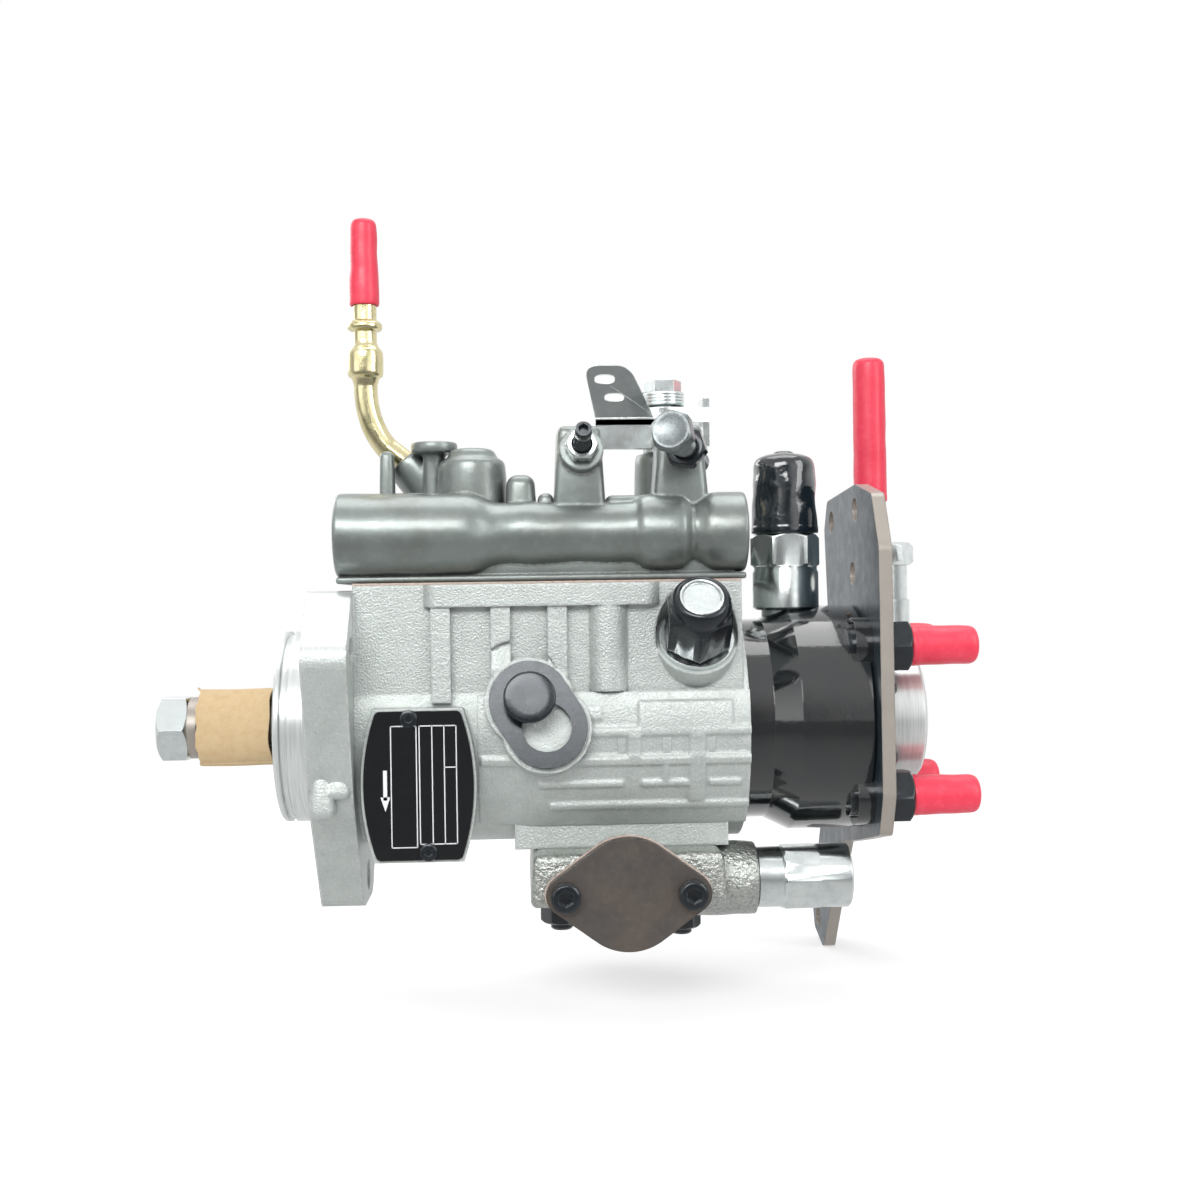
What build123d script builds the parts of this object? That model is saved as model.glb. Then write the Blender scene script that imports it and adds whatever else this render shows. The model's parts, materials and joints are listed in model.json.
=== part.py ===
from build123d import *
import math
import os

os.makedirs("parts", exist_ok=True)

# The origin is the centre of the pilot spigot on the mounting face of the flange.
# +X runs along the drive shaft towards the hydraulic head, +Z up to the governor
# cover, and the name plate faces -Y. All lengths are in millimetres.

# Fits
seat_gap = 0.02
running_gap = 0.05
open_gap = 0.3
wide_gap = 1
overrun = 2

# Drive line
nut_start = -57.5
nut_length = 10.5
nut_flats = 22
washer_length = 3.5
washer_radius = 11
thread_radius = 7
sleeve_length = 26
sleeve_radius = 14
shaft_radius = 10
shaft_neck_radius = 8.5
seal_radius = 17
seal_length = 6
bush_radius = 14
bush_length = 20

# Mounting flange and pilot spigot
spigot_radius = 34
spigot_length = 13.5
spigot_groove_width = 2.4
spigot_groove_depth = 1.2
spigot_groove_inset = 2.2
spigot_chamfer = 0.8
flange_thickness = 15
flange_top = 48
flange_top_half = 42
flange_shoulder_half = 62
flange_shoulder_height = 27
flange_waist_half = 46
flange_waist_height = -21
flange_foot_half = 15
flange_foot_height = -63
flange_corner_radius = 8
flange_bolt_circle = 108
flange_bolt_radius = 5.5
flange_bolt_angles = (30, 150, 270)

# Pump housing
housing_end = 148
barrel_radius = 42
bore_radius = 33
chamber_half_width = 26
chamber_start = 26
chamber_end = 134
block_half_width = 40
block_top = 49.5
block_end = 146
shelf_start = 38.5
shelf_end = 118
shelf_half_width = 44
shelf_thickness = 7.5
shelf_corner = 5
side_rib_starts = (41, 61, 80)
side_rib_width = 6.5
side_rib_proud = 3
side_rib_foot = 10
round_rib_centre = 100.5
round_rib_radius = 7.5
round_rib_foot = 13
skin_rib_proud = 1.6
skin_rib_width = 3
skin_rib_levels = (11, 1, -9, -19, -29)
skin_rib_rings = (88, 103, 118, 133)
skin_start = 80
plate_pad_proud = 45.2
plate_pad_depth = 25
foot_face = -barrel_radius
foot_start = 68
foot_end = 142
foot_half_width = 27
slot_half_length = 13
slot_half_width = 6

# Name plate
plate_centre_x = 36.5
plate_centre_z = -17
plate_height = 49.5
plate_flat_half = 14
plate_bulge = 4.3
plate_thickness = 0.8
plate_margin = 0.8
plate_screw_radius = 2
plate_screw_head = 0.9
plate_screw_depth = 5
plate_screw_inset = 2.6
plate_screw_shift = 3

# Shaft lock screw and keyhole plate
lock_x = 73.6
lock_angle = 12.5
lock_face = 46.5
lock_boss_radius = 15
lock_plate_thickness = 3
lock_plate_radius = 13.5
lock_slot_run = 10.6
lock_slot_lean = -58
lock_hole_radius = 8.2
lock_neck_radius = 4.4
lock_shank_radius = 4
lock_head_radius = 8.6
lock_head_height = 3
lock_hex_flats = 14
lock_hex_height = 5.5
lock_depth = 13
lock_travel = 8

# Cap nut of the side port
port_x = 130.5
port_angle = 38
port_face = 48
port_boss_radius = 14
port_washer_radius = 12.8
port_washer_thickness = 2
port_nut_flats = 21
port_nut_height = 17
port_crown_height = 5
port_crown_radius = 9.2
port_insert_radius = 6.4
port_insert_depth = 3
port_stem_radius = 7
port_stem_depth = 11

# Governor cover and its joint
joint_thickness = 0.8
cover_start = 9
cover_end = 148.5
cover_half_width = 44
cover_skirt = 10
chamber_roof = 72
cover_hump_half = 30
cover_hump_top = 83
cover_hump_start = 20
cover_hump_end = 140
cover_corner = 6
tube_y = -31
tube_z = 66.5
tube_radius = 14.5
tube_waist_radius = 11.8
tube_belly_radius = 13.2
tube_chamfer = 2.2
turret_x = 55
turret_y = -20
turret_radius = 11.6
turret_height = 93.5
turret_dome = 3.5
turret_dome_radius = 7.5
stop_boss_top = 103.5
stop_boss_front = -36
stop_boss_back = -18
stop_boss_corner = 4
idle_boss_x = 91.8
idle_boss_width = 19
speed_boss_x = 126.5
speed_boss_width = 21
lug_x = 41.5
lug_y = -14
lug_top = 100
lug_radius = 3.6
lug_flange_radius = 8.2
lug_flange_thickness = 4
front_lug_x = 25
front_lug_width = 6
front_lug_top = 97
cover_screw_radius = 3
cover_screw_head_radius = 5
cover_screw_head = 6
cover_screw_depth = 12
cover_screw_socket_flats = 5
cover_screw_socket_depth = 3
cover_screw_inset = 7
cover_screw_count = 4
cover_screw_row = 35.5

# Idle and maximum speed screws
idle_x = 92.5
idle_z = 94.5
idle_tilt = 14.5
idle_screw_radius = 3
idle_screw_out = 21
idle_screw_in = 14
idle_tip_radius = 2.2
idle_tip_length = 5
idle_nut_flats = 10
idle_nut_height = 5
idle_spot_radius = 7.5
idle_spot_height = 2
speed_x = 129.5
speed_z = 93.5
speed_tilt = 11
speed_turn = 20
speed_screw_radius = 4
speed_neck_length = 21
speed_screw_in = 14
speed_head_flats = 13
speed_head_height = 6
speed_nut_flats = 13
speed_nut_height = 5
speed_nut_lift = 3

# Throttle shaft and lever
throttle_x = 124.7
throttle_y = 8
throttle_shaft_radius = 5
throttle_shaft_foot = 50
throttle_shaft_top = 124
throttle_boss_radius = 10.5
throttle_boss_top = 97
throttle_collar_radius = 7.5
lever_level = 105.5
lever_sheet = 2.5
lever_hub_radius = 10
lever_tab_left = 98.5
lever_tab_right = 117
lever_tab_y = -15
lever_web_foot = 97
lever_tip_x = 102
lever_tip_z = 118
lever_tip_radius = 5.6
lever_hole_radius = 3.2
lever_slot_radius = 1.9
lever_slot_x = 105.5
lever_slot_z = 112.5
spring_plate_level = 111
spring_plate_reach = 16.5
spring_tab_foot = 99.5
spring_tab_top = 117
spring_tab_half = 7
lever_coil_radius = 8
lever_coil_height = 6
lever_nut_flats = 10
lever_nut_height = 4.5
lever_coil_top = spring_plate_level + lever_sheet + lever_coil_height
throttle_swing_gap = 0.4

# Return pipe and its cap
pipe_x = 17
pipe_y = -5
pipe_radius = 4.2
pipe_top = 165
pipe_elbow_z = 112
pipe_foot_x = 36.5
pipe_foot_z = 88
pipe_bend_radius = 22
pipe_bead_z = 141
pipe_bead_radius = 6.4
pipe_bead_height = 4
pipe_collar_z = 124
pipe_collar_radius = 6.4
pipe_collar_height = 10.5
pipe_boss_radius = 8
pipe_boss_length = 9
pipe_seat_depth = 5
return_cap_cover = 15
return_cap_rise = 16
return_cap_shoulder = 2
return_cap_foot = pipe_top - return_cap_cover
return_cap_top = pipe_top + return_cap_rise
return_cap_step = pipe_top - return_cap_shoulder
return_cap_radius = 5.3
return_cap_narrow = 4.9
return_cap_wall = 0.9
return_tip_radius = 3.9

# Hydraulic head
head_inner_start = 118
head_neck_radius = 36
head_radius = 40.5
head_flare_start = 157.5
head_flare_end = 166.5
head_end = 192
head_chamfer = 1.2
seal_ring_groove = 3
seal_ring_inset = 18
seal_ring_depth = 1.6
union_circle_radius = 37
union_boss_radius = 10
union_boss_length = 6
union_angles = (45, 135, 225, 315)
head_pin_hole_radius = 1.8
head_pin_hole_depth = 5
head_pin_hole_x = 181

# Delivery unions and caps
union_shank_radius = 6.8
union_shank_depth = 8
union_hex_flats = 17
union_hex_length = 9.5
union_nose_radius = 6
union_nose_length = 15
union_bore_radius = 1.5
union_bore_depth = 8
delivery_cap_radius = 7.3
delivery_cap_length = 24.5
delivery_cap_end = 2
cap_slide_gap = 0.05

# Rear bracket
bracket_thickness = 4.6
bracket_centre_hole = 24.5
bracket_union_hole = 7.2
bracket_outline = (
    (-35, 79), (-10, 84), (40, 81), (46, 70), (40, 30), (46, -20), (82, -84),
    (78, -94), (60, -99), (22, -50), (-10, -44), (-40, -38), (-46, -24), (-45, 60),
)
bracket_corner = 4
bracket_hole_radius = 4.2
bracket_slot_y = -9
bracket_slot_z = 75
bracket_far_hole_y = 32
bracket_far_hole_z = 72.5
bracket_low_hole_y = -4
bracket_low_hole_z = 52
bracket_foot_hole_y = 70
bracket_foot_hole_z = -88
bracket_bolt_circle = 35
bracket_bolt_angles = (20, 160, 200, 340)
bracket_bolt_radius = 2.5
bracket_bolt_depth = 10
bracket_bolt_head_radius = 4.2
bracket_bolt_head = 3.4

# Transfer pump and end plate
end_plate_radius = 23.5
end_plate_end = 214
liner_bore = 12
liner_start = 197
liner_length = 12
blade_thickness = 2.4
blade_reach = 11.6

# Inlet strainer
inlet_x = 214
inlet_y = 60
inlet_foot = -13
inlet_radius = 15
inlet_neck_z = 42
inlet_neck_radius = 14.2
inlet_hex_z = 56
inlet_hex_height = 9
inlet_hex_flats = 30
inlet_spigot_radius = 5.6
inlet_spigot_top = 100
inlet_arm_z = 0
inlet_arm_radius = 7
inlet_cap_foot = 82
inlet_cap_top = 140.5
inlet_cap_radius = 6.9
inlet_bore_radius = 3.5

# Shut-off solenoid
solenoid_x = 168
solenoid_foot = 39
solenoid_radius = 12
solenoid_body_height = 15.5
solenoid_hex_flats = 22
solenoid_hex_height = 12
solenoid_case_radius = 10.5
solenoid_case_height = 23
solenoid_thread_radius = 9
solenoid_thread_depth = 14
plunger_radius = 3
plunger_length = 13
plunger_travel = 2
boot_radius = 12.4
boot_height = 28.5
boot_nipple_radius = 4
boot_nipple_height = 2.2
boot_end = 2

# Timing advance unit
advance_x = 106
advance_drop = 13
advance_z = foot_face - advance_drop
advance_start = 73
advance_end = 140
advance_front = -41
advance_back = 38
advance_height = 34
advance_floor = foot_face - advance_height
advance_bore_radius = 12.3
advance_corner = 5
advance_nose_radius = 12.9
advance_nose_end = 152.5
advance_nose_y = -18
advance_skirt_depth = 12.5
advance_joint = 1
advance_cover_thickness = 4
advance_cover_radius = 19.5
advance_ear_radius = 7
advance_ear_reach = 21.3
advance_screw_radius = 3
advance_screw_head_radius = 5
advance_screw_head = 4.5
advance_screw_depth = 12
advance_socket_flats = 5
advance_socket_depth = 2.8
piston_length = 46
piston_front = -23
piston_spring_depth = 14
piston_travel = 5
advance_spring_wire = 1.6
advance_spring_radius = 9
advance_spring_turns = 5
plug_flats = 22
plug_length = 9
plug_depth = 6
union_x_radius = 11.5
advance_union_length = 33
advance_union_hex_start = 9
advance_union_hex_length = 13
advance_union_flats = 21
advance_union_step = 10
stud_radius = 4
stud_nut_flats = 13
stud_nut_height = 6.5
stud_positions = ((84, -18), (84, 20), (130, 20))
centre_bolt_x = 108
centre_bolt_y = 2
centre_bolt_flats = 17
centre_bolt_boss_radius = 12
centre_bolt_boss = 5
centre_bolt_head = 5

# Governor and pumping parts
shaft_end = 94
carrier_start = 34
carrier_length = 18
carrier_radius = 29
carrier_plate = 4
weight_count = 4
weight_length = 11
weight_inner = 13.5
weight_outer = 26
weight_half_width = 8
thrust_start = 54
thrust_length = 10
thrust_radius = 15
arm_start = 69.5
arm_thickness = 4
arm_half_width = 9
arm_fork_radius = 11.5
arm_pivot_x = 71.5
arm_pivot_z = 44
arm_top = 60
arm_pivot_radius = 3
arm_pivot_half = 30
main_spring_wire = 1.6
main_spring_radius = 5
main_spring_turns = 12
main_spring_z = 56
cam_start = 97
cam_length = 15
cam_outer = 32.4
cam_inner = 24
cam_lobe_depth = 1.6
shoe_outer = 22
roller_radius = 3.5
rotor_head_radius = 15.5
rotor_radius = 9
pin_neck_radius = 2.6
pin_ball_radius = 4
pin_ball_drop = 8
pin_ball_depth = pin_ball_drop - foot_face
metering_x = 127
metering_y = 8
metering_radius = 4
metering_foot = 15
metering_top = 41
metering_arm = 12
metering_arm_width = 5
metering_arm_height = 3
metering_deck = 36


def along_x(x, y=0, z=0):
    """The plane across a line that runs along +X, at x, y, z."""
    return Plane(origin=(x, y, z), x_dir=(0, 1, 0), z_dir=(1, 0, 0))


def along_z(x, y, z):
    """The level plane at x, y, z."""
    return Plane(origin=(x, y, z))


def facing_front(x, y, z):
    """The upright plane at x, y, z that faces -Y, with its first axis along +X."""
    return Plane(origin=(x, y, z), x_dir=(1, 0, 0), z_dir=(0, -1, 0))


def rod(plane, radius, length, mode=Mode.ADD):
    """A round bar that stands on a plane."""
    with Locations(plane):
        Cylinder(radius, length, align=(Align.CENTER, Align.CENTER, Align.MIN), mode=mode)


def ring(plane, outer, inner, length, mode=Mode.ADD):
    """A round bar with a round bore, standing on a plane."""
    with BuildSketch(plane) as face:
        Circle(outer)
        Circle(inner, mode=Mode.SUBTRACT)
    extrude(face.sketch, amount=length, mode=mode)


def hexagon(plane, across_flats, length, turn=0, mode=Mode.ADD):
    """A hexagon bar that stands on a plane."""
    with BuildSketch(plane) as face:
        RegularPolygon(across_flats / 2, 6, major_radius=False, rotation=turn)
    extrude(face.sketch, amount=length, mode=mode)


def slab(low, high, mode=Mode.ADD):
    """A block between two opposite corners."""
    middle = tuple((a + b) / 2 for a, b in zip(low, high))
    size = [abs(b - a) for a, b in zip(low, high)]
    with Locations(Location(middle)):
        Box(*size, mode=mode)


def turned(plane, stations, mode=Mode.ADD):
    """A turned body on the plane's first axis: its radius goes through the stations."""
    first = stations[0][0]
    last = stations[-1][0]
    with BuildSketch(plane) as face:
        with BuildLine():
            Polyline((first, 0), *stations, (last, 0), close=True)
        make_face()
    revolve(face.sketch, axis=Axis(plane.origin, plane.x_dir), mode=mode)


def coil_ring(plane, radius, wire, turns, length):
    """A spring as round turns side by side, on the thin sleeve that their wire sweeps."""
    pitch = (length - wire) / (turns - 1)
    ring(plane.offset(wire / 2), radius + wire / 4, radius - wire / 4, length - wire)
    for turn in range(turns):
        with Locations(plane.offset(wire / 2 + turn * pitch)):
            Torus(radius, wire / 2)


def radial_plane(x, angle, reach):
    """A plane across the line that leaves the shaft axis at x, tilted up from -Y."""
    tilt = math.radians(angle)
    out = (0, -math.cos(tilt), math.sin(tilt))
    return Plane(origin=(x, reach * out[1], reach * out[2]), x_dir=(1, 0, 0), z_dir=out)


def circle_points(radius, angles):
    """Places on a circle about the shaft axis, as y and z."""
    return [(radius * math.cos(math.radians(a)), radius * math.sin(math.radians(a))) for a in angles]


def name_plate_outline(margin=0):
    """Flat ends above and below, and two sides that bulge as arcs."""
    half = plate_flat_half + margin
    bulge = half + plate_bulge
    top = plate_height / 2 + margin
    with BuildLine() as outline:
        Polyline((-half, top), (half, top))
        ThreePointArc((half, top), (bulge, 0), (half, -top))
        Polyline((half, -top), (-half, -top))
        ThreePointArc((-half, -top), (-bulge, 0), (-half, top))
    make_face(outline.edges())


# Levels and places that several pieces share
shaft_start = nut_start
sleeve_start = nut_start + nut_length + washer_length
cover_floor = block_top + joint_thickness
plate_face = -plate_pad_proud
lock_plane = radial_plane(lock_x, lock_angle, lock_face)
port_plane = radial_plane(port_x, port_angle, port_face)
lobe_x = lock_slot_run * math.cos(math.radians(lock_slot_lean))
lobe_y = lock_slot_run * math.sin(math.radians(lock_slot_lean))
bracket_end = head_end + bracket_thickness
union_places = circle_points(union_circle_radius, union_angles)
advance_cover_face = advance_front - advance_joint - advance_cover_thickness
idle_lean = math.radians(idle_tilt)
idle_axis = (0, -math.cos(idle_lean), math.sin(idle_lean))
idle_plane = Plane(origin=(idle_x, stop_boss_front, idle_z), x_dir=(1, 0, 0), z_dir=idle_axis)
speed_lean = math.radians(speed_tilt)
speed_yaw = math.radians(speed_turn)
speed_axis = (
    -math.sin(speed_yaw) * math.cos(speed_lean),
    -math.cos(speed_yaw) * math.cos(speed_lean),
    math.sin(speed_lean),
)
speed_plane = Plane(origin=(speed_x, stop_boss_front, speed_z), z_dir=speed_axis)
cover_screw_pitch = (block_end - flange_thickness - 2 * cover_screw_inset) / (cover_screw_count - 1)
cover_screw_places = [
    (flange_thickness + cover_screw_inset + index * cover_screw_pitch, cover_screw_row)
    for index in range(cover_screw_count)
]
bracket_bolt_places = circle_points(bracket_bolt_circle, bracket_bolt_angles)
foot_level = foot_face

# Pump housing
with BuildPart() as housing:
    # The flange is a rounded triangle with an ear at each bolt hole.
    with BuildSketch(Plane.YZ) as flange_face:
        with BuildLine():
            Polyline(
                (-flange_top_half, flange_top),
                (flange_top_half, flange_top),
                (flange_shoulder_half, flange_shoulder_height),
                (flange_waist_half, flange_waist_height),
                (flange_foot_half, flange_foot_height),
                (-flange_foot_half, flange_foot_height),
                (-flange_waist_half, flange_waist_height),
                (-flange_shoulder_half, flange_shoulder_height),
                close=True,
            )
        make_face()
        fillet(flange_face.vertices(), radius=flange_corner_radius)
    extrude(amount=flange_thickness)
    rod(along_x(-spigot_length), spigot_radius, spigot_length)
    chamfer(faces().sort_by(Axis.X)[0].edges(), length=spigot_chamfer)
    ring(
        along_x(spigot_groove_inset - spigot_length),
        spigot_radius + overrun,
        spigot_radius - spigot_groove_depth,
        spigot_groove_width,
        mode=Mode.SUBTRACT,
    )
    rod(along_x(flange_thickness), barrel_radius, housing_end - flange_thickness)
    slab(
        (flange_thickness, -block_half_width, 0),
        (block_end, block_half_width, block_top),
    )
    with BuildSketch(Plane.XY.offset(block_top - shelf_thickness)):
        with Locations(((shelf_start + shelf_end) / 2, 0)):
            RectangleRounded(shelf_end - shelf_start, 2 * shelf_half_width, shelf_corner)
    extrude(amount=shelf_thickness)
    # Upright ribs below the shelf, and the rounded one beside them.
    for start in side_rib_starts:
        slab(
            (start, -block_half_width - side_rib_proud, side_rib_foot),
            (start + side_rib_width, 0, block_top - shelf_thickness),
        )
    rod(
        along_z(round_rib_centre, round_rib_radius - shelf_half_width, round_rib_foot),
        round_rib_radius,
        block_top - shelf_thickness - round_rib_foot,
    )
    # The raised net of ribs over the barrel follows its round.
    with BuildPart(mode=Mode.PRIVATE) as net:
        for level in skin_rib_levels:
            slab(
                (skin_start, -barrel_radius - overrun, level - skin_rib_width / 2),
                (housing_end, 0, level + skin_rib_width / 2),
            )
        for index, ring_x in enumerate(skin_rib_rings):
            slab(
                (ring_x, -barrel_radius - overrun, skin_rib_levels[-1]),
                (ring_x + skin_rib_width, 0, skin_rib_levels[index % 2]),
            )
        rod(along_x(0), barrel_radius + skin_rib_proud, housing_end, mode=Mode.INTERSECT)
    add(net.part)
    # Pad under the name plate
    with BuildSketch(facing_front(plate_centre_x, plate_face, plate_centre_z)) as pad:
        name_plate_outline(plate_margin)
    extrude(pad.sketch, amount=plate_pad_depth, dir=(0, 1, 0))
    # Bosses of the lock screw and of the side port
    rod(lock_plane.offset(-lock_depth), lock_boss_radius, lock_depth)
    with BuildSketch(lock_plane.offset(-lock_depth)) as lobe:
        with Locations((lobe_x, lobe_y)):
            Circle(lock_boss_radius)
    extrude(lobe.sketch, amount=lock_depth)
    rod(port_plane.offset(-port_stem_depth), port_boss_radius, port_stem_depth)
    rod(port_plane, port_boss_radius, barrel_radius, mode=Mode.SUBTRACT)
    slide_share = lock_travel / lock_slot_run
    for seat_x, seat_y in ((-slide_share * lobe_x, -slide_share * lobe_y), (0, 0), (lobe_x, lobe_y)):
        with BuildSketch(lock_plane) as seat:
            with Locations((seat_x, seat_y)):
                Circle(lock_plate_radius + open_gap)
        extrude(seat.sketch, amount=lock_depth, mode=Mode.SUBTRACT)
    # Foot under the barrel for the advance unit
    slab((foot_start, -foot_half_width, foot_face), (foot_end, foot_half_width, -bore_radius / 2))
    # Shaft bores, main bore, governor chamber and the slot of the cam ring's pin
    rod(along_x(-spigot_length), seal_radius, seal_length + seat_gap, mode=Mode.SUBTRACT)
    rod(along_x(-spigot_length), bush_radius, spigot_length + flange_thickness, mode=Mode.SUBTRACT)
    rod(along_x(flange_thickness), bore_radius, housing_end, mode=Mode.SUBTRACT)
    slab(
        (chamber_start, -chamber_half_width, 0),
        (chamber_end, chamber_half_width, block_top + overrun),
        mode=Mode.SUBTRACT,
    )
    slab(
        (advance_x - slot_half_width, -slot_half_length, foot_face - overrun),
        (advance_x + slot_half_width, slot_half_length, 0),
        mode=Mode.SUBTRACT,
    )
    # Bolt holes of the flange, its side boss and dimple
    for angle in flange_bolt_angles:
        hole_y = flange_bolt_circle / 2 * math.cos(math.radians(angle))
        hole_z = flange_bolt_circle / 2 * math.sin(math.radians(angle))
        rod(along_x(-overrun, hole_y, hole_z), flange_bolt_radius,
            flange_thickness + 2 * overrun, mode=Mode.SUBTRACT)
    rod(lock_plane.offset(-lock_depth - overrun), lock_shank_radius + seat_gap,
        lock_depth + 2 * overrun, mode=Mode.SUBTRACT)
    rod(port_plane.offset(-port_stem_depth), port_stem_radius + seat_gap,
        port_stem_depth + overrun, mode=Mode.SUBTRACT)
    for side in (-1, 1):
        rod(
            facing_front(
                plate_centre_x + side * plate_screw_shift,
                plate_face + plate_screw_depth,
                plate_centre_z - side * (plate_height / 2 - plate_screw_inset),
            ),
            plate_screw_radius,
            plate_screw_depth + overrun,
            mode=Mode.SUBTRACT,
        )
    for place in cover_screw_places:
        rod(along_z(*place, block_top - cover_screw_depth), cover_screw_radius + seat_gap,
            cover_screw_depth + overrun, mode=Mode.SUBTRACT)
housing.part.label = "pump_housing"
export_step(housing.part, "parts/pump_housing.step")

# Name plate and its drive screws
with BuildPart() as name_plate:
    with BuildSketch(facing_front(plate_centre_x, plate_face, plate_centre_z)) as plate_outline:
        name_plate_outline()
    extrude(plate_outline.sketch, amount=plate_thickness)
    for side in (-1, 1):
        rod(
            facing_front(
                plate_centre_x + side * plate_screw_shift,
                plate_face,
                plate_centre_z - side * (plate_height / 2 - plate_screw_inset),
            ),
            plate_screw_radius + seat_gap,
            plate_thickness,
            mode=Mode.SUBTRACT,
        )
name_plate.part.label = "name_plate"
export_step(name_plate.part, "parts/name_plate.step")

with BuildPart() as plate_screws:
    for side in (-1, 1):
        head_plane = facing_front(
            plate_centre_x + side * plate_screw_shift,
            plate_face - plate_thickness,
            plate_centre_z - side * (plate_height / 2 - plate_screw_inset),
        )
        rod(head_plane, plate_screw_radius * 3 / 2, plate_screw_head)
        rod(head_plane.offset(-plate_screw_depth), plate_screw_radius - seat_gap, plate_screw_depth)
plate_screws.part.label = "plate_screws"
export_step(plate_screws.part, "parts/plate_screws.step")

# Keyhole plate and the lock screw through its narrow end
with BuildPart() as lock_plate:
    with BuildSketch(lock_plane) as keyhole:
        Circle(lock_plate_radius)
        with Locations((lobe_x, lobe_y)):
            Circle(lock_plate_radius)
        make_hull()
        Circle(lock_neck_radius, mode=Mode.SUBTRACT)
        with Locations((lobe_x, lobe_y)):
            Circle(lock_hole_radius, mode=Mode.SUBTRACT)
        with Locations(Location((lobe_x / 2, lobe_y / 2), lock_slot_lean)):
            Rectangle(lock_slot_run, 2 * lock_neck_radius, mode=Mode.SUBTRACT)
    extrude(amount=lock_plate_thickness)
lock_plate.part.label = "lock_plate"
export_step(lock_plate.part, "parts/lock_plate.step")

with BuildPart() as lock_screw:
    rod(lock_plane.offset(-lock_depth), lock_shank_radius, lock_depth + lock_plate_thickness + open_gap)
    hexagon(lock_plane.offset(lock_plate_thickness + open_gap), lock_hex_flats, lock_hex_height)
    rod(
        lock_plane.offset(lock_plate_thickness + open_gap + lock_hex_height),
        lock_head_radius,
        lock_head_height,
    )
lock_screw.part.label = "lock_screw"
export_step(lock_screw.part, "parts/lock_screw.step")

# Side port: washer, black cap nut with a stem, and the bright disc in its crown
with BuildPart() as port_washer:
    ring(port_plane, port_washer_radius, port_stem_radius + seat_gap, port_washer_thickness)
port_washer.part.label = "port_washer"
export_step(port_washer.part, "parts/port_washer.step")

with BuildPart() as port_nut:
    rod(port_plane.offset(-port_stem_depth + wide_gap), port_stem_radius,
        port_stem_depth - wide_gap + port_washer_thickness)
    hexagon(port_plane.offset(port_washer_thickness), port_nut_flats, port_nut_height)
    crown_plane = port_plane.offset(port_washer_thickness + port_nut_height)
    with BuildSketch(crown_plane) as crown:
        Circle(port_nut_flats / 2)
    with BuildSketch(crown_plane.offset(port_crown_height)) as crown_top:
        Circle(port_crown_radius)
    loft([crown.sketch.face(), crown_top.sketch.face()])
    ring(crown_plane.offset(port_crown_height - port_insert_depth / 2), port_insert_radius + wide_gap,
         port_insert_radius, port_insert_depth, mode=Mode.SUBTRACT)
port_nut.part.label = "port_nut"
export_step(port_nut.part, "parts/port_nut.step")

# Joint between the housing and the governor cover
cover_base_start = cover_start + cover_corner / 2
cover_base_end = cover_end - cover_corner / 2
with BuildPart() as cover_joint:
    slab(
        (flange_thickness, -block_half_width, block_top),
        (block_end, block_half_width, cover_floor),
    )
    rod(port_plane, port_boss_radius, barrel_radius, mode=Mode.SUBTRACT)
    slab(
        (chamber_start, -chamber_half_width, block_top),
        (chamber_end, chamber_half_width, cover_floor),
        mode=Mode.SUBTRACT,
    )
    for place in cover_screw_places:
        rod(along_z(*place, block_top), cover_screw_radius + seat_gap, joint_thickness, mode=Mode.SUBTRACT)
cover_joint.part.label = "cover_joint"
export_step(cover_joint.part, "parts/cover_joint.step")

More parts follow.
